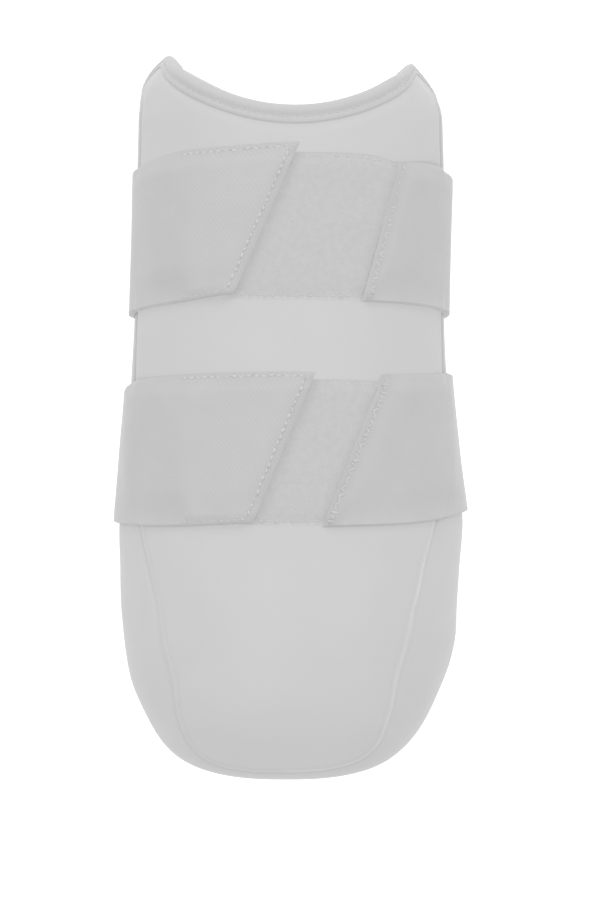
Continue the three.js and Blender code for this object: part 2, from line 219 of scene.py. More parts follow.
LOWER = {
    "name": "lower",
    "edges": [
        (0.08, -37.9, 14.1),
        (0.2, -37.5, 14.4),
        (0.32, -36.8, 14.8),
        (0.45, -35.2, 15),
        (0.53, -34.2, 15.2),
        (0.6, -33.5, 15.3),
        (0.7, -32.5, 15.2),
        (1, -32.7, 14.4),
        (2, -33.2, 12.5),
        (3, -35, 9.2),
        (3.3, -36.6, 9.4),
        (3.38, -37, 11.2),
        (3.43, -37.2, 12.4),
        (3.52, -37.5, 13.5),
        (3.66, -37.8, 14.4),
        (3.83, -37.2, 15.1),
        (4, -36, 15.5),
        (4.1, -35.4, 15),
    ],
    "elastic_end": (10.6, 30.8),
    "tab_end": (-12.4, 8.7),
    "panel": {
        "left": -36,
        "right": (16.8, 37),
        "low": (-37.1, -37.1),
        "high": (12.6, 13),
        "droop": (0.6, 1.4),
    },
    "hook": {"left": -34, "low": (-31.5, -31.5), "high": (9, 9), "droop": (0, 0)},
    "slip": {"left": (0.15, -0.1), "right": (-0.1, -0.1), "between": (-34, 12)},
}

# Distance of the hook tape from the tab's end.
HOOK_SETBACK = 5.5


def lerp(a, b, t):
    return a + (b - a) * t


def smoothstep(value, start, stop):
    t = np.clip((value - start) / (stop - start), 0, 1)
    return t * t * (3 - 2 * t)


def bump(value, centre, width):
    return np.exp(-(((value - centre) / width) ** 2))


def least(*values):
    return np.minimum.reduce(values)


def unit(vectors):
    return vectors / np.maximum(np.linalg.norm(vectors, axis=-1, keepdims=True), TINY)


def matched(*values):
    return np.broadcast_arrays(*(np.asarray(value, float) for value in values))


def travelled(points):
    """Distance along a line of points, from its start to each of them."""
    return np.concatenate([[0], np.cumsum(np.linalg.norm(np.diff(points, axis=0), axis=-1))])


def interp_rows(stops, travel, rows):
    return np.stack([np.interp(stops, travel, rows[:, k]) for k in range(3)], axis=-1)


def closed_up(rows):
    return np.vstack([rows, rows[:1]])


def spline(rows, flat_start=False):
    """Cubic curve through table rows, the first column being the place."""
    rows = np.array(rows, float)
    places = rows[:, 0]
    values = rows[:, 1:]
    chords = np.diff(values, axis=0) / np.diff(places)[:, None]
    slopes = np.vstack([chords[:1], (chords[:-1] + chords[1:]) / 2, chords[-1:]])
    if flat_start:
        slopes[0] = 0

    def at(place):
        place = np.clip(place, places[0], places[-1])
        i = np.clip(np.searchsorted(places, place, side="right") - 1, 0, len(places) - 2)
        gap = (places[i + 1] - places[i])[..., None]
        t = (place - places[i])[..., None] / gap
        keep = (1 + 2 * t) * (1 - t) ** 2 * values[i] + t * t * (3 - 2 * t) * values[i + 1]
        turn = t * (1 - t) ** 2 * slopes[i] + t * t * (t - 1) * slopes[i + 1]
        return keep + gap * turn

    return at


section_at = spline(SECTION_TABLE, flat_start=True)
toe_inset_at = spline(TOE_INSETS)
flank_at = spline(FLANK_TABLE)


def section(y):
    """Section columns at places along Y, as a list of arrays."""
    return list(np.moveaxis(section_at(np.asarray(y, float)), -1, 0))


def toe_section(angle):
    half, crown, widest, hem, _, fullness = section(np.full(np.shape(angle), float(TOE_POLE_Y)))
    turn = 1 - np.abs(1 - np.abs(angle) / QUARTER_TURN)
    drop = np.sin(angle) ** 2
    power = lerp(*TOE_OUTLINE, smoothstep(turn, *TOE_OUTLINE_TURN))
    across = np.abs(np.cos(angle) / half) ** power
    down = np.abs(np.sin(angle) / TOE_REACH) ** power
    return [
        (across + down) ** (-1 / power),
        crown,
        lerp(widest, TOE_WIDEST, drop),
        lerp(hem, TOE_HEM, drop),
        toe_inset_at(turn)[..., 0],
        lerp(fullness, TOE_FULLNESS, drop),
    ]


def flank_shift(place, y):
    """Sideways shift of a point by the swell of its flank."""
    left, right = np.moveaxis(flank_at(np.asarray(y, float)), -1, 0)
    return np.where(place < 0, -left, right) * smoothstep(np.abs(place), *FLANK_SHARES)


def section_point(shape, share):
    """Distance out from the middle, and height, of a point on a half section."""
    half, crown, widest, hem, _, fullness = shape
    angle = np.clip(share / SIDE_SHARE, 0, 1) * QUARTER_TURN
    power = 2 / fullness
    out = half * np.sin(angle) ** power
    height = lerp(widest, crown, np.maximum(np.cos(angle), 0) ** power)
    wall = np.clip((share - SIDE_SHARE) / (1 - SIDE_SHARE), 0, 1)
    past = share > SIDE_SHARE
    out = np.where(past, half - HEM_LEAN * wall * wall, out)
    return out, np.where(past, lerp(widest, hem, wall), height)


def share_at(shape, out):
    """Share of a half section at a distance out from the middle."""
    reach = np.clip(np.abs(out) / shape[HALF], 0, 1)
    return SIDE_SHARE * np.arcsin(reach ** (shape[FULLNESS] / 2)) / QUARTER_TURN


def top_edge(share):
    """Y of the open end at each share across the shell."""
    size = np.abs(share)
    out, _ = section_point(section(np.full(np.shape(share), float(SCOOP_WIDTH_AT))), size)
    scoop = SCOOP_Y + SCOOP_RISE * out * out
    past = np.clip((size - SHOULDER_FROM) / (1 - SHOULDER_FROM), 0, 1)
    fallen = (1 - past**SHOULDER_POWER) ** (1 / SHOULDER_POWER)
    shoulder = lerp(SHOULDER_END, SHOULDER_TOP, fallen)
    apart = np.maximum(SHOULDER_BLEND - np.abs(scoop - shoulder), 0) / SHOULDER_BLEND
    tilt = SCOOP_TILT * np.sign(share) * out
    return np.minimum(scoop, shoulder) - apart * apart * SHOULDER_BLEND / 4 - tilt


def rib_shape(rib, share):
    """Section columns on a rib, from -1 at the tip through 0 at the pole to 1 at the open end."""
    rib, share = matched(rib, share)
    body = section(lerp(TOE_POLE_Y, top_edge(share), np.maximum(rib, 0)))
    toe = toe_section(np.maximum(-rib, 0) * QUARTER_TURN)
    return [np.where(rib < 0, a, b) for a, b in zip(toe, body)]


def shell_point(rib, share):
    """Point of the shell's plain outer face."""
    rib, share = matched(rib, share)
    out, height = section_point(rib_shape(rib, share), np.abs(share))
    side = np.sign(share)
    angle = np.maximum(-rib, 0) * QUARTER_TURN
    down = out * np.sin(angle)
    toe_x = side * out * np.cos(angle) + TOE_LEAN * smoothstep(down, 0, TOE_LEAN_OVER)
    body_y = lerp(TOE_POLE_Y, top_edge(share), rib)
    body_x = side * out + SCOOP_LEAN * smoothstep(body_y, SCOOP_LEAN_FROM, SHOULDER_TOP)
    in_toe = rib < 0
    x = np.where(in_toe, toe_x, body_x)
    y = np.where(in_toe, TOE_POLE_Y - down, body_y)
    swell = flank_shift(share, y) * (1 - smoothstep(-rib, *FLANK_FADE))
    return np.stack([x + swell, y, height], axis=-1)


def shell_normal(rib, share):
    rib, share = matched(rib, share)
    ahead = shell_point(rib, np.minimum(share + NUDGE, 1))
    behind = shell_point(rib, np.maximum(share - NUDGE, -1))
    along = shell_point(np.minimum(rib + NUDGE, 1), share) - shell_point(rib - NUDGE, share)
    normal = unit(np.cross(ahead - behind, along))
    normal[(rib <= 0) & (np.abs(share) < TINY)] = (0, 0, 1)
    return normal


# Mesh helpers. A grid's faces point along (down the columns) x (along the rows).
WELD = 2e-6
NO_LENGTH = 1e-7


def grid_quads(index, wrap_first=False, wrap_second=False):
    """Quads of a 2-D array of vertex numbers."""
    if wrap_first:
        index = np.vstack([index, index[:1]])
    if wrap_second:
        index = np.hstack([index, index[:, :1]])
    corners = [index[:-1, :-1], index[1:, :-1], index[1:, 1:], index[:-1, 1:]]
    return np.stack(corners, axis=-1).reshape(-1, 4)


def numbered(rows, columns, start=0):
    return start + np.arange(rows * columns).reshape(rows, columns)


def mesh_object(name, points, quads, materials, uv=None, marks=None, face_material=None):
    """Object at the origin, with uv and marks for each point and face_material for each quad."""
    mesh = bpy.data.meshes.new(name)
    mesh.from_pydata((np.asarray(points) * MM).tolist(), [], np.asarray(quads).tolist())
    for material in materials:
        mesh.materials.append(material)
    if face_material is not None:
        mesh.polygons.foreach_set("material_index", np.asarray(face_material, np.int32))
    for label, values in (marks or {}).items():
        attribute = mesh.attributes.new(label, "FLOAT", "POINT")
        attribute.data.foreach_set("value", np.asarray(values, np.float32).ravel())
    if uv is not None:
        corner = np.empty(len(mesh.loops), np.int32)
        mesh.loops.foreach_get("vertex_index", corner)
        layer = mesh.uv_layers.new(name="cloth")
        layer.data.foreach_set("uv", np.asarray(uv, np.float32)[corner].ravel())
    mesh.shade_smooth()
    mesh.update()
    return linked(name, mesh)


def linked(name, data):
    """New object in the scene."""
    made = bpy.data.objects.new(name, data)
    bpy.context.collection.objects.link(made)
    return made


@contextlib.contextmanager
def edited(mesh):
    """A mesh's editable copy, written back at the end."""
    work = bmesh.new()
    work.from_mesh(mesh)
    yield work
    work.to_mesh(mesh)
    work.free()


def dress(piece, solid):
    """Lets a piece stand for a solid and ride the one body."""
    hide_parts(solid)
    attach(piece, "root")


# Materials. Weave pitches are millimetres, given along a strip and across it where there are two.
RIB_PITCH = 0.9
PICK_PITCH = 0.7
TWILL_PITCH = 1.55
HOOK_PITCH = (1.1, 0.9)
KNIT_PITCH = (0.8, 0.7)


def node(tree, kind, inputs=None, **settings):
    made = tree.nodes.new(kind)
    for key, value in settings.items():
        setattr(made, key, value)
    for key, value in (inputs or {}).items():
        socket = made.inputs[key]
        if isinstance(value, bpy.types.NodeSocket):
            tree.links.new(value, socket)
        else:
            socket.default_value = value
    return made


class Finish:
    """A material in the making, with short calls for the nodes that its recipe needs."""

    def __init__(self, name):
        self.material = bpy.data.materials.new(name)
        self.material.use_nodes = True
        self.tree = self.material.node_tree
        self.shader = self.tree.nodes["Principled BSDF"].inputs

    def add(self, kind, inputs=None, **settings):
        return node(self.tree, kind, inputs, **settings).outputs

    def set(self, **values):
        """Sets the shader's own sockets, named with _ for each space."""
        for label, value in values.items():
            self.shader[label.replace("_", " ")].default_value = value

    def math(self, operation, a, b=0.0):
        return self.add("ShaderNodeMath", {0: a, 1: b}, operation=operation)[0]

    def line(self, value, slope, level):
        return self.math("ADD", self.math("MULTIPLY", value, slope), level)

    def weighted(self, *parts):
        """Sum of values, each times its weight."""
        terms = [self.math("MULTIPLY", value, weight) for value, weight in parts]
        total = terms[0]
        for term in terms[1:]:
            total = self.math("ADD", total, term)
        return total

    def place(self):
        return self.add("ShaderNodeTexCoord")["Object"]

    def flat(self):
        """Millimetres along and across the cloth."""
        uv = self.add("ShaderNodeUVMap", uv_map="cloth")["UV"]
        parts = self.add("ShaderNodeSeparateXYZ", {"Vector": uv})
        return parts["X"], parts["Y"]

    def mark(self, label):
        return self.add("ShaderNodeAttribute", attribute_name=label)["Fac"]

    def noise(self, scale, detail=2.0, roughness=0.5):
        inputs = {"Vector": self.place(), "Scale": scale, "Detail": detail, "Roughness": roughness}
        return self.add("ShaderNodeTexNoise", inputs)["Fac"]

    def wave(self, value, pitch):
        """Wave from 0 to 1 along a length in millimetres."""
        turned = self.math("MULTIPLY", value, 2 * math.pi / pitch)
        return self.line(self.math("SINE", turned), 0.5, 0.5)

    def grid(self, pitch):
        """Waves along and across the cloth, multiplied."""
        waves = [self.wave(value, step) for value, step in zip(self.flat(), pitch)]
        return self.math("MULTIPLY", *waves)

    def ramp(self, factor, *stops):
        """Colour ramp between two grey levels given as (position, level) pairs."""
        made = node(self.tree, "ShaderNodeValToRGB", {"Fac": factor})
        for element, (position, level) in zip(made.color_ramp.elements, stops):
            element.position = position
            element.color = (level, level, level, 1)
        return made.outputs["Color"]

    def toned(self, colour, label, weight):
        """A colour made lighter or darker by a vertex attribute."""
        inputs = {"Vector": colour, "Scale": self.line(self.mark(label), weight, 1.0)}
        return self.add("ShaderNodeVectorMath", inputs, operation="SCALE")["Vector"]

    def done(self, colour, bumps, roughness, sheen, sheen_roughness=0.4, specular=0.3):
        """Links the colour, stacks bumps of (height, distance in metres, strength) and sets the gloss."""
        self.tree.links.new(colour, self.shader["Base Color"])
        self.set(Roughness=roughness, Specular_IOR_Level=specular)
        self.set(Sheen_Weight=sheen, Sheen_Roughness=sheen_roughness)
        below = {}
        for height, distance, strength in bumps:
            inputs = {"Height": height, "Distance": distance, "Strength": strength, **below}
            below = {"Normal": self.add("ShaderNodeBump", inputs)["Normal"]}
        self.tree.links.new(below["Normal"], self.shader["Normal"])
        return self.material


def coated_fabric():
    """Smooth matte skin of the moulded cup: fine grain and a very faint mottle."""
    cloth = Finish("coated_fabric")
    mottle = cloth.noise(scale=45, detail=3)
    grain = cloth.noise(scale=2600)
    grey = cloth.ramp(cloth.weighted((mottle, 0.75), (grain, 0.25)), (0.3, 0.597), (0.7, 0.616))
    # The crease mark paints highlight and shade into the cloth's colour.
    colour = cloth.toned(grey, "crease_painted_light_and_shade", weight=0.2)
    return cloth.done(colour, [(grain, 0.00012, 0.3), (mottle, 0.0006, 0.04)], roughness=0.62, sheen=0.1)


def lining_knit():
    """Knitted lining inside the cup."""
    cloth = Finish("lining_knit")
    cells = cloth.add("ShaderNodeTexVoronoi", {"Vector": cloth.place(), "Scale": 620.0})["Distance"]
    colour = cloth.ramp(cells, (0.0, 0.5), (0.7, 0.6))
    return cloth.done(colour, [(cells, 0.0003, 0.5)], roughness=0.85, sheen=0.25)


def strap_weave():
    """Elastic webbing with fine lengthwise ribs, and the twill back of the hook tape on the tab."""
    cloth = Finish("strap_weave")
    along, across = cloth.flat()
    tab = cloth.mark("tab_weave")
    picks = cloth.line(cloth.wave(along, PICK_PITCH), 0.2, 0.3)
    elastic = cloth.math("MULTIPLY", cloth.wave(across, RIB_PITCH), picks)
    diagonal = cloth.wave(cloth.math("ADD", along, across), TWILL_PITCH)
    counter = cloth.wave(cloth.math("SUBTRACT", along, across), TWILL_PITCH)
    twill = cloth.math("MULTIPLY", diagonal, counter)
    cloths = {"Factor": tab, "A": elastic, "B": twill}
    weave = cloth.add("ShaderNodeMix", cloths, data_type="FLOAT")["Result"]
    mottle = cloth.noise(scale=90, detail=3)
    fuzz = cloth.noise(scale=2200)
    tone = cloth.weighted((weave, cloth.line(tab, 0.4, 0.03)), (mottle, 0.5), (fuzz, 0.2))
    # The shade mark paints shade by the tab's end and the elastic's end seam, and light along the lower
    # edge, into the colour.
    colour = cloth.toned(cloth.ramp(tone, (0.15, 0.525), (0.85, 0.585)), "shade", weight=1.0)
    return cloth.done(colour, [(weave, 0.00014, 0.22), (fuzz, 0.0002, 0.15)], roughness=0.8, sheen=0.25)


def loop_pile():
    """Brushed loop pile: soft uneven fuzz."""
    cloth = Finish("loop_pile")
    tufts = cloth.noise(scale=420, detail=4, roughness=0.65)
    fuzz = cloth.noise(scale=1700, detail=4, roughness=0.7)
    grey = cloth.ramp(cloth.weighted((tufts, 0.6), (fuzz, 0.4)), (0.3, 0.528), (0.7, 0.588))
    # The shade mark paints shadows beside the strap's ends and light along the lower edge into the pile's
    # colour.
    colour = cloth.toned(grey, "shade", weight=1.0)
    layers = [(tufts, 0.0006, 0.3), (fuzz, 0.0003, 0.5)]
    return cloth.done(colour, layers, roughness=0.95, sheen=0.35, sheen_roughness=0.6, specular=0.15)


def hook_tape():
    """Stiff nylon tape with rows of tiny hooks."""
    tape = Finish("hook_tape")
    rows = tape.grid(HOOK_PITCH)
    colour = tape.ramp(rows, (0.0, 0.4), (1.0, 0.52))
    return tape.done(colour, [(rows, 0.0004, 0.7)], roughness=0.6, sheen=0.1)


def edge_tape():
    """Soft knitted tape folded over the rim."""
    tape = Finish("edge_tape")
    knit = tape.grid(KNIT_PITCH)
    fuzz = tape.noise(scale=1800, detail=3)
    colour = tape.ramp(tape.weighted((knit, 0.4), (fuzz, 0.6)), (0.2, 0.568), (0.8, 0.612))
    return tape.done(colour, [(knit, 0.00015, 0.3), (fuzz, 0.0002, 0.25)], roughness=0.85, sheen=0.25)


def sewing_thread(name, low, high):
    """Twisted thread between two grey levels."""
    thread = Finish(name)
    twist = thread.noise(scale=3000)
    colour = thread.ramp(twist, (0.3, low), (0.7, high))
    return thread.done(colour, [(twist, 0.0001, 0.4)], roughness=0.55, sheen=0.3)


COATED_FABRIC = coated_fabric()
LINING_KNIT = lining_knit()
STRAP_WEAVE = strap_weave()
LOOP_PILE = loop_pile()
HOOK_TAPE = hook_tape()
EDGE_TAPE = edge_tape()
SEWING_THREAD = sewing_thread("sewing_thread", 0.585, 0.65)
SEAM_THREAD = sewing_thread("seam_thread", 0.57, 0.63)
# Darker beads at the needle holes: painted shade standing for the shadow in the holes.
NEEDLE_HOLE_SHADE = sewing_thread("needle_hole_shade", 0.5, 0.55)

# Shell: outer skin, lining and flange in one closed skin. Ribs run across it, rows along it, and both
# are closer together at the open end and over the crease.
FAN_RIBS = 56
BODY_RIBS = 122
CLOSE_RIBS = 9
PANEL_ROWS = 40
CREASE_ROWS = 18
SIDE_ROWS = 28
FLANGE_STEPS = 4
CREASE_REACH = (3.6, 3.0)

# The crease is not quite alike on the two sides. Rows: place along Y, extra inset on the left and on
# the right.
CREASE_TABLE = [
    (-116, -0.85, 0.85),
    (-104.5, -0.85, 1.6),
    (-98, -0.85, 0.55),
    (-91, -0.85, 0.85),
    (-84, -0.85, 1.5),
    (-77, -0.85, 2),
    (-70, -0.85, 1.95),
    (-63, -0.85, 1.3),
    (-56, -0.85, 1.55),
    (-49, -0.85, 1.7),
    (-40, -0.8, 1.2),
    (-20, -0.35, 0.5),
    (5, 0, 0),
]
crease_shift_at = spline(CREASE_TABLE)

# Beside each nub the rim is drawn in. Rows: place along X, width, share of the reach that is lost.
NUB_PINCHES = [
    (-48.5, 3, 0.25),
    (-43.3, 1.8, 0.13),
    (43, 2.4, 0.24),
    (48.5, 3, 0.35),
]
NUB_FROM = (106, 112)

# Painted light and shade in the cloth along the crease: a painted highlight on the lip, painted shade in
# the groove, and a deeper band of painted shade in the channel on the upper part; also painted light on the
# left flank and painted shade on the toe's rim.
# Lines along the crease: place past it, width.
TONE_UPPER_FROM = (-5, 15)
TONE_BRIGHT_AT = (-57, 14)
TONE_LIP_LINE = (-0.2, 1.1)
TONE_LIP_LEFT = 0.15
TONE_LIP_RIGHT = (0.65, 1.15)
TONE_GROOVE_LINES = [(1.6, 0.7), (-2.3, 0.8)]
TONE_GROOVE = -0.16
TONE_FLANK_LINE = (2, 1.1)
TONE_FLANK_LEFT = 0.3
TONE_UPPER_LINE = (-1.3, 0.9)
TONE_UPPER_LIP = 0.25
TONE_CHANNEL = -1.25
TONE_CHANNEL_START = (-0.4, 0.2)
TONE_CHANNEL_FADE = (3.5, 10)
TONE_CHANNEL_TOP = (101, 112)
TONE_TOE_RIM = -0.12
TONE_TOE_START = (-0.2, 0.4)
TONE_TOE_FROM = (108, 122)


def crease_edge(ribs, side):
    """Share of the crease on each rib of one side."""
    edge = np.full(len(ribs), SIDE_SHARE)
    fan = np.cos(np.maximum(-ribs, 0) * QUARTER_TURN)
    for _ in range(SETTLE_STEPS):
        shape = rib_shape(ribs, side * edge)
        y = shell_point(ribs, side * edge)[..., 1]
        inset = shape[INSET] + fan * crease_shift_at(y)[..., 0 if side < 0 else 1]
        edge = share_at(shape, shape[HALF] - inset)
    return edge


def shell_shares(ribs):
    """Signed share of each row on each rib, with close rows over the crease, and its distance past it."""
    halves = []
    for side in (-1, 1):
        edge = crease_edge(ribs, side)
        stretch = shell_point(ribs, side * (edge + NUDGE)) - shell_point(ribs, side * (edge - NUDGE))
        per_share = np.linalg.norm(stretch, axis=-1) / (2 * NUDGE)
        inner = edge - CREASE_REACH[0] / per_share
        outer = edge + CREASE_REACH[1] / per_share
        panel = inner[:, None] * np.linspace(0, 1, PANEL_ROWS, endpoint=False)
        crease = lerp(inner[:, None], outer[:, None], np.linspace(0, 1, CREASE_ROWS, endpoint=False))
        wall = lerp(outer[:, None], 1.0, np.linspace(0, 1, SIDE_ROWS + 1))
        half = np.hstack([panel, crease, wall])
        halves.append((half, (half - edge[:, None]) * per_share[:, None]))
    (left, left_past), (right, right_past) = halves
    shares = np.hstack([-left[:, :0:-1], right])
    past = np.hstack([left_past[:, :0:-1], right_past])
    return shares, past


def panel_relief(past, ribs, shares):
    """Height of the front panel over the side, its lip, and the groove along it."""
    rise = PANEL_RISE * (1 - smoothstep(past, *PANEL_SLOPE))
    rise = rise + LIP_RISE * bump(past, *LIP) - GROOVE_DEPTH * bump(past, *GROOVE)
    room = np.maximum(1 - ribs[:, None], 0) * (top_edge(shares) - TOE_POLE_Y)
    y = top_edge(shares) - room
    flat = smoothstep(y, *SHOULDER_FLAT_FROM) * smoothstep(np.abs(shares), *SHOULDER_FLAT_SHARES)
    return rise * np.where(ribs[:, None] < 0, 1, smoothstep(room, 0, TOP_STEP) * (1 - flat))


def crease_painted_light_and_shade(past, skin, shares):
    """Painted highlight and painted shade in the shell's cloth about its crease."""
    y = skin[..., 1]
    bright = bump(y, *TONE_BRIGHT_AT)
    lip = np.where(shares > 0, lerp(*TONE_LIP_RIGHT, bright), TONE_LIP_LEFT)
    groove = sum(bump(past, *line) for line in TONE_GROOVE_LINES)
    cup = lip * bump(past, *TONE_LIP_LINE) + TONE_GROOVE * groove
    cup = cup + np.where(shares < 0, TONE_FLANK_LEFT, 0) * bright * bump(past, *TONE_FLANK_LINE)
    channel = smoothstep(past, *TONE_CHANNEL_START) * (1 - smoothstep(past, *TONE_CHANNEL_FADE))
    channel = channel * (1 - smoothstep(y, *TONE_CHANNEL_TOP))
    body = TONE_UPPER_LIP * bump(past, *TONE_UPPER_LINE) + TONE_CHANNEL * channel
    toe = smoothstep(-y, *TONE_TOE_FROM) * smoothstep(past, *TONE_TOE_START)
    return lerp(cup, body, smoothstep(y, *TONE_UPPER_FROM)) + TONE_TOE_RIM * toe


def rim_places(rib_count, row_count):
    """Rib and row numbers round the rim, counterclockwise from above, from the closed tip."""
    last_rib, last_row = rib_count - 1, row_count - 1
    right = [(i, last_row) for i in range(rib_count)]
    top = [(last_rib, j) for j in range(last_row - 1, -1, -1)]
    left = [(i, 0) for i in range(last_rib - 1, 0, -1)]
    return np.array(right + top + left)


def rim_reach(point):
    """Share of the full reach beyond the rim, less beside the two nubs."""
    on_top = smoothstep(point[..., 1], *NUB_FROM)
    loss = sum(depth * bump(point[..., 0], place, width) for place, width, depth in NUB_PINCHES)
    return (1 - loss * on_top)[..., None]


def rim_frames(ribs, shares):
    """Places round the rim with their points, normals and ways out."""
    places = rim_places(*shares.shape)
    rib = ribs[places[:, 0]]
    share = shares[places[:, 0], places[:, 1]]
    point = shell_point(rib, share)
    normal = shell_normal(rib, share)
    tangent = np.roll(point, -1, axis=0) - np.roll(point, 1, axis=0)
    out = unit(np.cross(tangent, normal)) * rim_reach(point)
    return places, point, normal, out


def shell_grid():
    fan = -np.linspace(1, 0, FAN_RIBS, endpoint=False)
    body = np.linspace(0, 1, BODY_RIBS, endpoint=False)
    close = np.linspace(body[-1], 1, CLOSE_RIBS + 1)[1:]
    ribs = np.concatenate([fan, body, close])
    return ribs, *shell_shares(ribs)


def make_shell(ribs, shares, past):
    column = ribs[:, None]
    base = shell_point(column, shares)
    normal = shell_normal(column, shares)
    skin = base + normal * panel_relief(past, ribs, shares)[..., None]
    hemward = (1 - np.abs(shares)) / THIN_SHARE
    topward = (1 - column) / THIN_RIB
    depth = lerp(HEM_THICK, PADDING, smoothstep(np.minimum(hemward, topward), 0, 1))
    lining = base - normal * depth[..., None]
    places, point, up, out = rim_frames(ribs, shares)
    reaches = np.linspace(0, FLANGE, FLANGE_STEPS + 1)[1:]
    over = [point + out * reach for reach in reaches]
    under = [point + out * reach - up * HEM_THICK for reach in reaches[::-1]]
    flange = np.array(over + under)
    number = numbered(*shares.shape)
    count = number.size
    root = number[places[:, 0], places[:, 1]]
    ring = numbered(len(flange), len(root), start=2 * count)
    chain = np.vstack([root[None], ring, root[None] + count])
    points = np.vstack([sheet.reshape(-1, 3) for sheet in (skin, lining, flange)])
    outer_quads = grid_quads(number.T)
    inner_quads = grid_quads(number.T + count)[:, ::-1]
    rim_quads = grid_quads(chain, wrap_second=True)
    quads = np.vstack([outer_quads, inner_quads, rim_quads])
    lined = np.zeros(len(quads))
    lined[len(outer_quads) : len(outer_quads) + len(inner_quads)] = 1
    # Painted highlight and painted shade about the crease, on the outer skin only.
    tone = np.zeros(len(points))
    tone[:count] = crease_painted_light_and_shade(past, skin, shares).ravel()
    cloths = [COATED_FABRIC, LINING_KNIT]
    marks = {"crease_painted_light_and_shade": tone}
    piece = mesh_object("padded_shell", points, quads, cloths, marks=marks, face_material=lined)
    with edited(piece.data) as work:
        bmesh.ops.remove_doubles(work, verts=work.verts, dist=WELD)
    return piece


RIBS, SHARES, PAST = shell_grid()
shell = make_shell(RIBS, SHARES, PAST)
dress(shell, "shell")

# Edge tape. Section points are (outward from the flange root, up from the outer face). The puff between
# two stitches has its place outward and its width.
TAPE_STEP = 0.6
TAPE_GAP = 0.3
TAPE_PUCKER_PITCH = 2.8
TAPE_PUCKER = 0.05
TAPE_PUFF = (4.6, 1.6)
TAPE_SMOOTH = 3
TAPE_SECTION = [
    (0.1, 0.03),
    (0.08, 0.25),
    (0.5, 0.56),
    (1.4, 0.76),
    (2.3, 0.52),
    (3.1, 0.9),
    (4.1, 1.36),
    (5.1, 1.32),
    (5.9, 0.84),
    (6.38, -0.1),
    (6.5, -1.3),
    (6.5, -2.25),
]


def smooth_curve(points, steps):
    """Points of a smooth curve through the given ones."""
    points = np.asarray(points, float)
    last = len(points) - 1
    made = []
    for i in range(last):
        a, b, c, d = points[np.clip([i - 1, i, i + 1, i + 2], 0, last)]
        bend = 2 * a - 5 * b + 4 * c - d
        twist = 3 * b - a - 3 * c + d
        for t in np.linspace(0, 1, steps, endpoint=False):
            made.append(0.5 * (2 * b + (c - a) * t + bend * t * t + twist * t**3))
    return np.array(made + [points[-1]])


def even_rim(ribs, shares):
    """Rim frames at an even spacing along the rim."""
    _, point, normal, out = rim_frames(ribs, shares)
    travel = travelled(closed_up(point + out * FLANGE))
    stops = np.linspace(0, travel[-1], int(travel[-1] / TAPE_STEP), endpoint=False)
    point, normal, out = (interp_rows(stops, travel, closed_up(rows)) for rows in (point, normal, out))
    return stops, travel[-1], point, unit(normal), out


def make_edge_tape(rim):
    stops, length, point, normal, out = rim
    front = smooth_curve(TAPE_SECTION, TAPE_SMOOTH)
    back = front[::-1] * (1, -1) + (0, -HEM_THICK)
    inside = [(FLANGE + TAPE_GAP, -HEM_THICK - TAPE_GAP), (FLANGE + TAPE_GAP, TAPE_GAP)]
    profile = np.vstack([front, back[1:], inside])
    puffs = round(length / TAPE_PUCKER_PITCH)
    wave = np.cos(2 * math.pi * puffs * stops / length)
    swell = bump(profile[:, 0], *TAPE_PUFF)
    swell[-len(inside) :] = 0
    away = np.where(profile[:, 1] > -HEM_THICK / 2, 1, -1)
    reach = profile[None, :, 0]
    rise = profile[None, :, 1] + TAPE_PUCKER * wave[:, None] * (swell * away)[None]
    points = point[:, None] + out[:, None] * reach[..., None] + normal[:, None] * rise[..., None]
    uv = np.stack(np.broadcast_arrays(stops[:, None], travelled(profile)[None]), axis=-1).reshape(-1, 2)
    quads = grid_quads(numbered(*points.shape[:2]).T, wrap_first=True, wrap_second=True)
    return mesh_object("folded_tape", points.reshape(-1, 3), quads, [EDGE_TAPE], uv=uv)


RIM = even_rim(RIBS, SHARES)
dress(make_edge_tape(RIM), "edge_binding")


# Straps: frames round their loop, and their lift over the shell.
def section_frame(shape, share):
    """Point, way along and normal, each (outward, up), on a half section."""
    out, height = section_point(shape, share)
    ahead_out, ahead_height = section_point(shape, np.minimum(share + NUDGE, 1))
    behind_out, behind_height = section_point(shape, np.maximum(share - NUDGE, 0))
    near = share <= NUDGE
    behind_out = np.where(near, -ahead_out, behind_out)
    behind_height = np.where(near, ahead_height, behind_height)
    way = unit(np.stack([ahead_out - behind_out, ahead_height - behind_height], axis=-1))
    normal = np.stack([-way[..., 1], way[..., 0]], axis=-1)
    return np.stack([out, height], axis=-1), way, normal


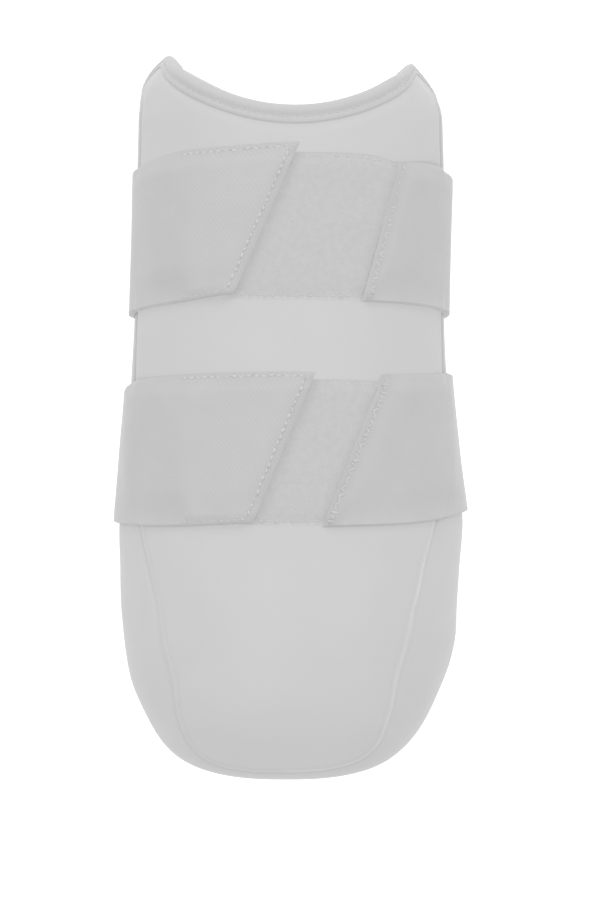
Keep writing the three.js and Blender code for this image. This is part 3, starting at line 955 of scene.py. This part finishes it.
def strap_frame(place, y, lift):
    """Middle of a strap's thickness and its normal. The place is signed, positive on the right half."""
    place, y, lift = matched(place, y, lift)
    size = np.abs(place)
    shape = section(y)
    point, _, normal = section_frame(shape, np.minimum(size, 1))
    point = point + normal * lift[..., None]
    hem_point, hem_way, hem_normal = section_frame(shape, np.ones(size.shape))
    straight = np.clip((size - 1) / (FOLD_LINE - 1), 0, 1) * FOLD_START
    bent = hem_point + hem_normal * lift[..., None] + hem_way * straight[..., None]
    past_hem = (size > 1)[..., None]
    point = np.where(past_hem, bent, point)
    normal = np.where(past_hem, hem_normal, normal)
    resting = BAND_THICK / 2
    radius = (bent[..., 1] - resting) / (1 + hem_normal[..., 1])
    centre = bent - hem_normal * radius[..., None]
    start = np.arctan2(hem_normal[..., 1], hem_normal[..., 0])
    turn = np.clip((size - FOLD_LINE) / (FOLD_ARC - FOLD_LINE), 0, 1)
    angle = lerp(start, -QUARTER_TURN, turn)
    arc_normal = np.stack([np.cos(angle), np.sin(angle)], axis=-1)
    past_line = (size > FOLD_LINE)[..., None]
    point = np.where(past_line, centre + arc_normal * radius[..., None], point)
    normal = np.where(past_line, arc_normal, normal)
    run = np.clip((size - FOLD_ARC) / (BACK_MIDDLE - FOLD_ARC), 0, 1)
    past_arc = size > FOLD_ARC
    out = np.where(past_arc, centre[..., 0] * (1 - run), point[..., 0])
    height = np.where(past_arc, resting, point[..., 1])
    side = np.where(place < 0, -1.0, 1.0)
    points = np.stack([side * out + flank_shift(place, y), y, height], axis=-1)
    normals = np.stack([side * normal[..., 0], np.zeros(size.shape), normal[..., 1]], axis=-1)
    return points, normals


def front_place(x, y):
    """Place round the loop of a point on the front."""
    return np.sign(x) * share_at(section(y), x)


def front_x(place, y):
    """X of a place on the front."""
    return np.sign(place) * section_point(section(y), np.minimum(np.abs(place), 1))[0]


def plain_lift(place, y):
    """Lift of a band that lies on the shell alone."""
    share = np.minimum(np.abs(place), 1)
    shape = section(y)
    crease = share_at(shape, shape[HALF] - shape[INSET])
    side = smoothstep(share, crease + SIDE_DROP_FROM, crease + SIDE_DROP_TO)
    return LOOP_LIFT - SIDE_DROP * side + HEM_LIFT * smoothstep(share, *HEM_LIFT_SHARES)


# Rows and stations of the strips. Close rows are millimetres from an edge, close stations shares of a run.
BAND_WIDTH = 50.0
BAND_ROWS = 60
LAYER_ROWS = 48
CLOSE_ROWS = (0, 0.05, 0.18, 0.4, 0.75, 1.2)
INNER_ROWS_FROM = 2.0
FRONT_CLOSE = (0, 0.004, 0.012, 0.024, 0.04)
FRONT_FROM = 0.06
FRONT_STATIONS = 58
WALL_RUNS = [
    (SIDE_STOP, 1, 34),
    (1, FOLD_LINE, 6),
    (FOLD_LINE, FOLD_ARC, 14),
    (FOLD_ARC, BACK_MIDDLE, 40),
]
LAYER_CLOSE = (0, 0.004, 0.012, 0.025)
LAYER_FROM = 0.04
PANEL_STATIONS = 80
HOOK_STATIONS = 40
SHARP_ANGLE = math.radians(40)

# Rims. Over its reach a rim thins to a share of the thickness, settles onto what lies under it and
# tapers to a thin edge. The lower edges of the bands do so more gently, and the sides not at all.
EDGE_THIN = 0.4
EDGE_THIN_REACH = 7.0
EDGE_TAPER = 1.6
EDGE_LEFT = 0.03
SIDE_TAPER = 0.9
PILE_TAPER = 3.5
LOW_THIN = 0.7
LOW_TAPER = 0.7
LOW_PULL = 0.97
LOW_REACH = 14.0
RIM_GAP = 0.03
RIM_REACH = 7.0
RIM_UNDER_SHARES = (0.8, 0.92)
RIM_TOP_SHARES = (0.5, 0.66)
CREASE_ROOM = 0.28
CREASE_ROOM_WIDTH = 2.2
PANEL_LENGTH = 60.0
SLIP_SHARES = (0.3, 0.6)

# Tab and elastic end: the woven stretch of the tab, the press of its border seam, the elastic's hem.
TAB_WEAVE_FROM = -37.0
TAB_WEAVE_FADE = 6.0
TAB_BORDER = (2.2, 0.8)
TAB_PRESS = 0.16
ELASTIC_HEM = (5.0, 7.0)
ELASTIC_HEM_RISE = 0.25
END_SEAM = 2.0

# Painted shade and painted light: change of the cloth's brightness, and its reach. Painted shade on the
# tab's rim by its end, along the elastic's end seam and on the pile beside both ends; painted light along
# the lower edges of the bands and of the pile.
TAB_RIM_SHADE = (-0.035, 1.8)
HEM_SHADE = (-0.05, 2.0)
BAND_LOW_EDGE_PAINTED_LIGHT = (0.035, 9.0)
PILE_LOW_EDGE_PAINTED_LIGHT = (0.12, 4.5)
TAB_END_PAINTED_SHADOW = (-0.12, 2.8)
ELASTIC_END_PAINTED_SHADOW = (-0.06, 2.0)


def tapered(distance, reach):
    """Share of the thickness left near an edge."""
    left = 1 - np.clip(distance / reach, 0, 1)
    return 1 - left * left


def fading(distance, reach):
    """From 1 at an edge to 0 at its reach."""
    return 1 - smoothstep(distance, 0, reach)


def faded(shade, distance):
    tone, reach = shade
    return tone * fading(distance, reach)


def rim_thickness(border, low_edge, place):
    """Thickness of a band near its lower edge and near its other rims: full at the sides."""
    side = smoothstep(np.abs(place), *RIM_TOP_SHARES)
    body = lerp(lerp(EDGE_THIN, 1, side), 1, smoothstep(border, 0, EDGE_THIN_REACH))
    low_body = lerp(lerp(LOW_THIN, 1, side), 1, smoothstep(low_edge, 0, LOW_REACH))
    taper = smoothstep(border, 0, lerp(EDGE_TAPER, SIDE_TAPER, side)) * smoothstep(low_edge, 0, LOW_TAPER)
    return BAND_THICK * np.minimum(body, low_body) * np.maximum(taper, EDGE_LEFT)


def across_shares(width, rows):
    """Shares across a strip, close together at both edges."""
    rim = np.array(CLOSE_ROWS) / width
    start = INNER_ROWS_FROM / width
    inner = np.linspace(start, 1 - start, rows - 2 * len(rim))
    return np.concatenate([rim, inner, 1 - rim[::-1]])


def strap_edges(strap):
    """Y at a place and a share of the width, from the lower edge to the upper."""
    curve = spline(strap["edges"])

    def across(place, on_tab, width):
        loop = np.where((place < 0) | on_tab, LOOP_TURN + place, place)
        pair = curve(loop)
        return lerp(pair[..., 0], pair[..., 1], width)

    return across


def front_y(strap, x, on_tab, width):
    """Y of points on a strap's front given by X and share of the width."""
    across = strap_edges(strap)
    y = across(np.zeros(np.shape(width)), on_tab, width)
    for _ in range(SETTLE_STEPS):
        y = across(front_place(x, y), on_tab, width)
    return y


def end_place(strap, end, on_tab, width):
    """Place of an end line at each share across the strap."""
    x = lerp(*strap[end], width)
    return front_place(x, front_y(strap, x, on_tab, width))


def band_places(strap, width):
    """Signed place and tab flag of each station, in rows from the elastic end round to the tab end."""
    start = end_place(strap, "elastic_end", False, width)
    end = end_place(strap, "tab_end", True, width)
    ease = np.concatenate([FRONT_CLOSE, np.linspace(FRONT_FROM, 1, FRONT_STATIONS)])
    wall = np.concatenate([np.linspace(*run, endpoint=False) for run in WALL_RUNS])
    right = [lerp(start, SIDE_STOP, t) for t in ease[:-1]]
    sides = [np.full(width.shape, place) for place in (*wall, BACK_MIDDLE, *-wall[::-1])]
    left = [lerp(-SIDE_STOP, end, 1 - t) for t in ease[-2::-1]]
    places = np.array(right + sides + left)
    tab = np.zeros(places.shape, bool)
    tab[len(right) + len(sides) :] = True
    return places, tab


def band_lift(strap, place, tab, y, width):
    """Lift of the band's underside: on the shell, over the loop panel, or over panel and hook tape."""
    x = front_x(place, y)
    right = lerp(*strap["panel"]["right"], width)
    over_panel = (1 - smoothstep(x - right, *STEP_DOWN_ELASTIC)) * (place > 0) * (np.abs(place) < 1)
    over_tab = 1 - smoothstep(strap["panel"]["left"] - x, *STEP_DOWN_TAB)
    extra = np.where(tab, (TAB_LIFT - LOOP_LIFT) * over_tab, (HOOK_LIFT - LOOP_LIFT) * over_panel)
    return plain_lift(place, y) + extra


def strip_mesh(name, middle, normal, thick, top_relief, material, uv, marks=None):
    """Closed strip with thin edges from rows of middle points and thicknesses."""
    over = middle + normal * (thick / 2 + top_relief)[..., None]
    under = middle - normal * (thick / 2)[..., None]
    top = numbered(*thick.shape)
    low = top + top.size
    low[:, [0, -1]] = top[:, [0, -1]]
    ring = np.hstack([low, top[:, -2:0:-1]])
    caps = [grid_quads(np.stack([top[0], low[0]])), grid_quads(np.stack([low[-1], top[-1]]))]
    quads = np.vstack([grid_quads(ring, wrap_second=True)] + caps)
    points = np.vstack([over.reshape(-1, 3), under.reshape(-1, 3)])
    labels = {label: np.tile(np.ravel(values), 2) for label, values in (marks or {}).items()}
    both_uv = np.tile(uv.reshape(-1, 2), (2, 1))
    piece = mesh_object(name, points, quads, [material], uv=both_uv, marks=labels)
    with edited(piece.data) as work:
        bmesh.ops.dissolve_degenerate(work, dist=NO_LENGTH, edges=work.edges)
        loose = [v for v in work.verts if not v.link_faces]
        bmesh.ops.delete(work, geom=loose, context="VERTS")
        bmesh.ops.recalc_face_normals(work, faces=work.faces)
    piece.data.set_sharp_from_angle(angle=SHARP_ANGLE)
    return piece


def edge_distances(middle):
    """Millimetres from each point to the first and to the last end of a strip, and its uv on the strip."""
    steps = np.linalg.norm(np.diff(middle, axis=0), axis=-1)
    travel = np.vstack([np.zeros((1, middle.shape[1])), np.cumsum(steps, axis=0)])
    lean, rise = (np.abs(np.diff(middle[..., k], axis=1)).mean(axis=1) for k in (0, 1))
    square = rise / np.hypot(lean, rise)
    along = np.concatenate([[0], np.cumsum(steps.mean(axis=1))])
    widths = np.linalg.norm(np.diff(middle, axis=1), axis=-1)
    across = np.hstack([np.zeros((middle.shape[0], 1)), np.cumsum(widths, axis=1)])
    uv = np.stack([np.broadcast_to(along[:, None], across.shape), across], axis=-1)
    return travel * square[0], (travel[-1:] - travel) * square[-1], uv


def slipped(strap, points, place):
    """Sideways slip of a strap's sides, from its lower to its upper edge."""
    slip = strap["slip"]
    low, high = slip["between"]
    rise = (points[..., 1] - low) / (high - low)
    shift = np.where(place < 0, lerp(*slip["left"], rise), lerp(*slip["right"], rise))
    moved = points.copy()
    moved[..., 0] += shift * smoothstep(np.abs(place), *SLIP_SHARES)
    return moved


def sheet_high(sheet, run):
    """Upper edge of a sheet on the front, which droops toward its right end."""
    start, drop = sheet["droop"]
    return lerp(*sheet["high"], run) - drop * (np.clip(run - start, 0, 1) / (1 - start)) ** 2


def settled(strap, lift, place, y, share, border, low_edge, free):
    """Lift of a band whose rims settle onto shell and loop panel, until it is free at the sides."""
    shape = section(y)
    x = front_x(place, y)
    past = np.abs(x) - shape[HALF] + shape[INSET]
    seat = PANEL_RISE * (1 - smoothstep(past, *PANEL_SLOPE))
    seat = seat + CREASE_ROOM * bump(past, 0, CREASE_ROOM_WIDTH)
    panel = strap["panel"]
    run = (x - panel["left"]) / (lerp(*panel["right"], share) - panel["left"])
    low = lerp(*panel["low"], np.clip(run, 0, 1))
    high = sheet_high(panel, np.clip(run, 0, 1))
    inside = least(y - low, high - y, run * PANEL_LENGTH, (1 - run) * PANEL_LENGTH)
    on_panel = smoothstep(inside, 0, PILE_TAPER) * (np.abs(place) < 1)
    seat = lerp(seat, LOOP_LIFT + LOOP_THICK, on_panel) + RIM_GAP
    pull = np.maximum(fading(border, RIM_REACH), LOW_PULL * fading(low_edge, LOW_REACH))
    return lerp(lift, np.minimum(seat, lift), pull * (1 - smoothstep(np.abs(place), *free)))


def make_band(strap):
    width = across_shares(BAND_WIDTH, BAND_ROWS)
    place, tab = band_places(strap, width)
    share = np.broadcast_to(width, place.shape)
    y = strap_edges(strap)(place, tab, share)
    lift = band_lift(strap, place, tab, y, share)
    flat, _ = strap_frame(place, y, lift + BAND_THICK / 2)
    to_start, to_end, uv = edge_distances(slipped(strap, flat, place))
    low_edge = uv[..., 1]
    high_edge = low_edge[:, -1:] - low_edge
    border = least(high_edge, to_start, to_end)
    under = settled(strap, lift, place, y, share, border, low_edge, RIM_UNDER_SHARES)
    upper = settled(strap, lift, place, y, share, border, low_edge, RIM_TOP_SHARES)
    thick = (upper - under) * np.maximum(tapered(np.minimum(border, low_edge), SIDE_TAPER), EDGE_LEFT)
    thick = thick + rim_thickness(border, low_edge, place)
    middle, normal = strap_frame(place, y, under + thick / 2)
    middle = slipped(strap, middle, place)
    weave = smoothstep(front_x(place, y), TAB_WEAVE_FROM, TAB_WEAVE_FROM + TAB_WEAVE_FADE) * tab
    tab_border = least(low_edge, high_edge, to_end)
    press = TAB_PRESS * bump(tab_border, *TAB_BORDER) * weave
    hem = ELASTIC_HEM_RISE * (1 - smoothstep(to_start, *ELASTIC_HEM)) * (1 - tab)
    relief = (hem - press) * tapered(tab_border, EDGE_TAPER) * tapered(to_start, EDGE_TAPER)
    # Painted shade by the tab's end and along the elastic's end seam, and painted light along the lower
    # edge.
    hem_tone, hem_reach = HEM_SHADE
    shade = faded(TAB_RIM_SHADE, to_end) * tab + hem_tone * bump(to_start, END_SEAM, hem_reach) * (1 - tab)
    marks = {"tab_weave": weave, "shade": shade + faded(BAND_LOW_EDGE_PAINTED_LIGHT, low_edge)}
    return strip_mesh(strap["name"] + "_webbing", middle, normal, thick, relief, STRAP_WEAVE, uv, marks)


def pile_shade(strap, x, y, low_edge):
    """Painted shadows on the pile beside the tab's and the elastic's ends, and painted light along its
    lower edge.
    """
    across = strap_edges(strap)
    place = front_place(x, y)
    shade = faded(PILE_LOW_EDGE_PAINTED_LIGHT, low_edge)
    end_shadows = ((True, "tab_end", TAB_END_PAINTED_SHADOW), (False, "elastic_end", ELASTIC_END_PAINTED_SHADOW))
    for on_tab, end, (tone, reach) in end_shadows:
        low, high = (across(place, on_tab, share) for share in (0, 1))
        shade = shade + tone * bump(x, lerp(*strap[end], (y - low) / (high - low)), reach)
    return shade


def make_layer(name, material, sheet, stations, lift, seat, thick, strap=None):
    """Sheet on the front whose rims come down from their lift to a seat. A strap's ends mark painted
    shadows on its pile, and its lower edge gets painted light.
    """
    close = np.array(LAYER_CLOSE)
    width = across_shares(sheet["high"][0] - sheet["low"][0], LAYER_ROWS)
    along = np.concatenate([close, np.linspace(LAYER_FROM, 1 - LAYER_FROM, stations), 1 - close[::-1]])
    share, run = np.meshgrid(width, along)
    x = lerp(sheet["left"], lerp(*sheet["right"], share), run)
    y = lerp(lerp(*sheet["low"], run), sheet_high(sheet, run), share)
    place = front_place(x, y)
    flat, _ = strap_frame(place, y, lift + thick / 2)
    to_start, to_end, uv = edge_distances(flat)
    low_edge = uv[..., 1]
    border = least(low_edge, low_edge[:, -1:] - low_edge, to_start, to_end)
    under = lerp(seat, lift, smoothstep(border, 0, RIM_REACH))
    depth = thick * np.maximum(smoothstep(border, 0, PILE_TAPER), EDGE_LEFT)
    middle, normal = strap_frame(place, y, under + depth / 2)
    marks = {"shade": pile_shade(strap, x, y, low_edge)} if strap else None
    return strip_mesh(name, middle, normal, depth, np.zeros(x.shape), material, uv, marks)


def make_loop_panel(strap):
    name = strap["name"] + "_pile_panel"
    seat = PANEL_RISE + RIM_GAP
    return make_layer(name, LOOP_PILE, strap["panel"], PANEL_STATIONS, LOOP_LIFT, seat, LOOP_THICK, strap)


def make_hook_patch(strap):
    name = strap["name"] + "_hook_tape"
    sheet = dict(strap["hook"], right=[x - HOOK_SETBACK for x in strap["tab_end"]])
    return make_layer(name, HOOK_TAPE, sheet, HOOK_STATIONS, HOOK_LIFT, HOOK_LIFT, HOOK_THICK)


STRAP_PARTS = [
    (make_band, "_band", "elastic_band"),
    (make_loop_panel, "_loop_panel", "loop_pile"),
    (make_hook_patch, "_hook_patch", "hook_tape"),
]
for strap in (UPPER, LOWER):
    for maker, part, slot in STRAP_PARTS:
        dress(maker(strap), strap["name"] + part)

# Stitching: rows of thread beads, and between them darker beads at the needle holes, painted shade in the
# holes.
# Sizes are length, width and height.
STITCH_PITCH = 2.5
STITCH_SIZE = (1.75, 1.05, 0.6)
HOLE_SIZE = (0.6, 0.6, 0.22)
ZIGZAG_SIZE = (2.6, 0.8, 0.6)
ZIGZAG_HOLE = (1.0, 1.2, 0.3)
ZIGZAG_PITCH = 1.6
ZIGZAG_TURN = math.radians(52)
ZIGZAG_SPAN = (0.97, 0.03)
PILE_STITCH_SIZE = (1.7, 0.7, 0.5)
PILE_ROW_ENDS = (1.5, -0.5)
TAPE_STITCH_SIZE = (1.9, 0.6, 0.45)
TAPE_STITCH_AT = 2.3
TAPE_STITCH_RISE = 0.58
BEADS, HOLES = 0, 1
BEAD_SEGMENTS = 10
BEAD_RINGS = 6

# Unevenness of the stitches: slip along the row, sway beside it, tilt, and spread of the size.
STITCH_SEED = 7
STITCH_SLIP = 0.18
STITCH_SWAY = 0.13
STITCH_TILT = 0.22
STITCH_SPREAD = (0.72, 1.18)

# Places of the rows: height over the cloth, insets from the long edges and the slanted ends.
STITCH_SEAT = 0.05
BORDER = 1.4
CORNER_BORDER = 1.8 * BORDER
END_BORDER = 2.5
END_SLANT = 1.1
TAB_ROW_FROM = TAB_WEAVE_FROM + 1.0
LINE_SAMPLES = 240


def stitch_row(points, normals, pitch, zigzag=0.0):
    """Stitch centres, directions and up vectors along a line, and the same for the holes between."""
    travel = travelled(points)
    ways = np.gradient(points, axis=0)
    count = max(int(travel[-1] / pitch), 1)
    centres = (np.arange(count) + 0.5) * travel[-1] / count
    gaps = np.arange(count + 1) * travel[-1] / count
    rows = []
    for stops in (centres, gaps):
        up = unit(interp_rows(stops, travel, normals))
        way = unit(interp_rows(stops, travel, ways))
        if zigzag:
            turn = zigzag * (-1.0) ** np.arange(len(stops))[:, None]
            way = way * np.cos(turn) + np.cross(up, way) * np.sin(turn)
        rows.append((interp_rows(stops, travel, points), way, up))
    return rows


def band_top(strap, x, width, on_tab):
    """Points and normals on a band's upper face at given X and shares across it."""
    y = front_y(strap, x, on_tab, width)
    place = front_place(x, y)
    lift = band_lift(strap, place, on_tab, y, width)
    end = lerp(*strap["tab_end" if on_tab else "elastic_end"], width)
    border = np.minimum(np.abs(end - x) / END_SLANT, (1 - width) * BAND_WIDTH)
    low_edge = width * BAND_WIDTH
    lift = settled(strap, lift, place, y, width, border, low_edge, RIM_TOP_SHARES)
    points, normals = strap_frame(place, y, lift + rim_thickness(border, low_edge, place) + STITCH_SEAT)
    return slipped(strap, points, place), normals


def tab_rows(strap):
    """Upper edge, slanted end and lower edge of the tab."""
    run = np.linspace(0, 1, LINE_SAMPLES)
    inset = BORDER / BAND_WIDTH
    corner = CORNER_BORDER / BAND_WIDTH

    def end(width):
        return lerp(*strap["tab_end"], width) - END_BORDER * END_SLANT

    high = np.full(run.shape, 1 - inset)
    slant = lerp(1 - corner, corner, run)
    low = np.full(run.shape, inset)
    lines = [
        (lerp(TAB_ROW_FROM, end(1 - inset), run), high),
        (end(slant), slant),
        (lerp(end(inset), TAB_ROW_FROM, run), low),
    ]
    return [stitch_row(*band_top(strap, x, width, True), STITCH_PITCH) for x, width in lines]


def elastic_row(strap):
    """Zigzag seam beside the slanted end of the elastic."""
    across = np.linspace(*ZIGZAG_SPAN, LINE_SAMPLES)
    x = lerp(*strap["elastic_end"], across) + END_SEAM * END_SLANT
    points, normals = band_top(strap, x, across, False)
    return stitch_row(points + normals * ELASTIC_HEM_RISE, normals, ZIGZAG_PITCH, ZIGZAG_TURN)


def pile_rows(strap):
    """Seams along both long edges of the loop panel, the lower first."""
    panel = strap["panel"]
    lift = PANEL_RISE + RIM_GAP + LOOP_THICK * smoothstep(BORDER, 0, PILE_TAPER) + STITCH_SEAT
    rows = []
    for k in (0, 1):
        ends = (strap["tab_end"][k] + PILE_ROW_ENDS[0], strap["elastic_end"][k] + PILE_ROW_ENDS[1])
        x = np.linspace(*ends, LINE_SAMPLES)
        run = (x - panel["left"]) / (panel["right"][k] - panel["left"])
        y = sheet_high(panel, run) - BORDER if k else lerp(*panel["low"], run) + BORDER
        rows.append(stitch_row(*strap_frame(front_place(x, y), y, lift), STITCH_PITCH))
    return rows


def tape_rows(rim):
    """Seam through the edge tape, on the outer and on the inner leg."""
    _, _, point, normal, out = rim
    rows = []
    for rise, side in ((TAPE_STITCH_RISE, 1), (-HEM_THICK - TAPE_STITCH_RISE, -1)):
        line = point + out * TAPE_STITCH_AT + normal * rise
        rows.append(stitch_row(closed_up(line), closed_up(normal) * side, TAPE_PUCKER_PITCH))
    return rows


def stitch_tree():
    """Sets a rounded bead on every point, lying along its direction."""
    tree = bpy.data.node_groups.new("stitch_rows", "GeometryNodeTree")
    sides = ("Length", "Width", "Height")
    inputs = [("Geometry", "Geometry"), *((side, "Float") for side in sides), ("Thread", "Material")]
    for label, kind in inputs:
        tree.interface.new_socket(label, in_out="INPUT", socket_type="NodeSocket" + kind)
    tree.interface.new_socket("Geometry", in_out="OUTPUT", socket_type="NodeSocketGeometry")
    source = node(tree, "NodeGroupInput").outputs
    named = {}
    for label, kind in (("along", "FLOAT_VECTOR"), ("up", "FLOAT_VECTOR"), ("size", "FLOAT")):
        reader = node(tree, "GeometryNodeInputNamedAttribute", {"Name": label}, data_type=kind)
        named[label] = reader.outputs["Attribute"]
    axes = {0: named["up"], 1: named["along"]}
    turn = node(tree, "FunctionNodeAxesToRotation", axes, primary_axis="Z", secondary_axis="X")
    scale = node(tree, "ShaderNodeCombineXYZ", {k: source[side] for k, side in enumerate(sides)})
    round_bead = {"Segments": BEAD_SEGMENTS, "Rings": BEAD_RINGS, "Radius": 0.5}
    ball = node(tree, "GeometryNodeMeshUVSphere", round_bead)
    long_bead = {"Geometry": ball.outputs["Mesh"], "Scale": scale.outputs[0]}
    bead = node(tree, "GeometryNodeTransform", long_bead)
    placed = node(tree, "GeometryNodeInstanceOnPoints", {
        "Points": source["Geometry"],
        "Instance": bead.outputs["Geometry"],
        "Rotation": turn.outputs[0],
        "Scale": named["size"],
    })
    real = node(tree, "GeometryNodeRealizeInstances", {"Geometry": placed.outputs["Instances"]})
    worn = {"Geometry": real.outputs["Geometry"], "Material": source["Thread"]}
    threaded = node(tree, "GeometryNodeSetMaterial", worn)
    node(tree, "NodeGroupOutput", {"Geometry": threaded.outputs["Geometry"]})
    return tree


def stitch_object(name, rows, tree, size, material):
    spots, ways, ups = (np.vstack([row[k] for row in rows]) for k in range(3))
    dice = np.random.default_rng(STITCH_SEED)
    aside = np.cross(ups, ways)
    spots = spots + ways * dice.normal(0, STITCH_SLIP, (len(spots), 1))
    spots = spots + aside * dice.normal(0, STITCH_SWAY, (len(spots), 1))
    ways = unit(ways + aside * dice.normal(0, STITCH_TILT, (len(spots), 1)))
    sizes = dice.uniform(*STITCH_SPREAD, len(spots))
    mesh = bpy.data.meshes.new(name)
    mesh.from_pydata((spots * MM).tolist(), [], [])
    fields = [
        ("along", "FLOAT_VECTOR", "vector", ways),
        ("up", "FLOAT_VECTOR", "vector", ups),
        ("size", "FLOAT", "value", sizes),
    ]
    for label, kind, field, values in fields:
        attribute = mesh.attributes.new(label, kind, "POINT")
        attribute.data.foreach_set(field, values.astype(np.float32).ravel())
    piece = linked(name, mesh)
    modifier = piece.modifiers.new("stitches", "NODES")
    modifier.node_group = tree
    values = dict(zip(("Length", "Width", "Height"), (side * MM for side in size)), Thread=material)
    for item in tree.interface.items_tree:
        if item.in_out == "INPUT" and item.name in values:
            modifier[item.identifier] = values[item.name]
    graph = bpy.context.evaluated_depsgraph_get()
    sewn = bpy.data.meshes.new_from_object(piece.evaluated_get(graph), depsgraph=graph)
    piece.modifiers.clear()
    piece.data = sewn
    sewn.name = name
    sewn.shade_smooth()
    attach(piece, "root")


def sew():
    tree = stitch_tree()
    for strap in (UPPER, LOWER):
        upper, slant, lower = tab_rows(strap)
        seam = elastic_row(strap)
        jobs = [
            ("_tab_stitches", [upper, slant], BEADS, STITCH_SIZE, SEWING_THREAD, "elastic_band"),
            ("_tab_holes", [upper, slant], HOLES, HOLE_SIZE, NEEDLE_HOLE_SHADE, "elastic_band"),
            ("_hem_stitches", [lower], BEADS, PILE_STITCH_SIZE, SEAM_THREAD, "elastic_band"),
            ("_end_seam", [seam], BEADS, ZIGZAG_SIZE, SEAM_THREAD, "elastic_band"),
            ("_end_holes", [seam], HOLES, ZIGZAG_HOLE, NEEDLE_HOLE_SHADE, "elastic_band"),
            ("_pile_stitches", pile_rows(strap), BEADS, PILE_STITCH_SIZE, SEAM_THREAD, "loop_pile"),
        ]
        for label, lines, kind, size, thread, slot in jobs:
            stitch_object(strap["name"] + label, [line[kind] for line in lines], tree, size, thread)
    tape = [line[BEADS] for line in tape_rows(RIM)]
    stitch_object("tape_stitches", tape, tree, TAPE_STITCH_SIZE, SEAM_THREAD)


sew()

# Studio, in metres and watts: white floor, soft light from above, camera straight above.
FLOOR_REACH = 3.0
FLOOR_DROP = 0.0002
FLOOR_GREY = 0.12
FLOOR_GLOW = 1.1
SKY = 0.67
WHITE = (1, 1, 1, 1)
LIGHT_AIM = (0, 0, 0.05)

# Rows: name, place, side of the square, power.
LIGHTS = [
    ("overhead", (0.0, 0.1, 1.6), 1.0, 7.7),
    ("key", (0.0, 1.65, 0.95), 0.5, 4.6),
]


def make_floor():
    mesh = bpy.data.meshes.new("floor")
    corners = [(x * FLOOR_REACH, y * FLOOR_REACH, 0) for x, y in ((-1, -1), (1, -1), (1, 1), (-1, 1))]
    mesh.from_pydata(corners, [], [(0, 1, 2, 3)])
    floor = linked("floor", mesh)
    floor.location.z = -FLOOR_DROP
    paint = Finish("white_floor")
    paint.set(Base_Color=(FLOOR_GREY, FLOOR_GREY, FLOOR_GREY, 1), Roughness=0.9, Specular_IOR_Level=0.0)
    paint.set(Emission_Color=WHITE, Emission_Strength=FLOOR_GLOW)
    mesh.materials.append(paint.material)


def make_lights():
    for name, place, side, power in LIGHTS:
        data = bpy.data.lights.new(name, "AREA")
        data.shape = "RECTANGLE"
        data.size = side
        data.size_y = side
        data.energy = power
        light = linked(name, data)
        light.location = place
        light.rotation_euler = (Vector(LIGHT_AIM) - Vector(place)).to_track_quat("-Z", "Y").to_euler()
    world = bpy.data.worlds.new("studio")
    world.use_nodes = True
    background = world.node_tree.nodes["Background"].inputs
    background["Color"].default_value = WHITE
    background["Strength"].default_value = SKY
    bpy.context.scene.world = world


# The photograph's frame: millimetres per pixel at mid height, and the frame's centre on the guard.
PIXEL = 0.345
FRAME_HEIGHT = 900
FRAME_CENTRE = (3.45, -11.4)
SHARP_HEIGHT = 45
CAMERA_DISTANCE = 7500
SENSOR = 36


def make_camera():
    data = bpy.data.cameras.new("camera")
    data.sensor_fit = "VERTICAL"
    data.sensor_height = SENSOR
    data.lens = SENSOR * CAMERA_DISTANCE / (FRAME_HEIGHT * PIXEL)
    camera = linked("camera", data)
    camera.location = Vector((*FRAME_CENTRE, SHARP_HEIGHT + CAMERA_DISTANCE)) * MM
    bpy.context.scene.camera = camera


make_floor()
make_lights()
make_camera()
bpy.context.scene.view_settings.view_transform = "Standard"
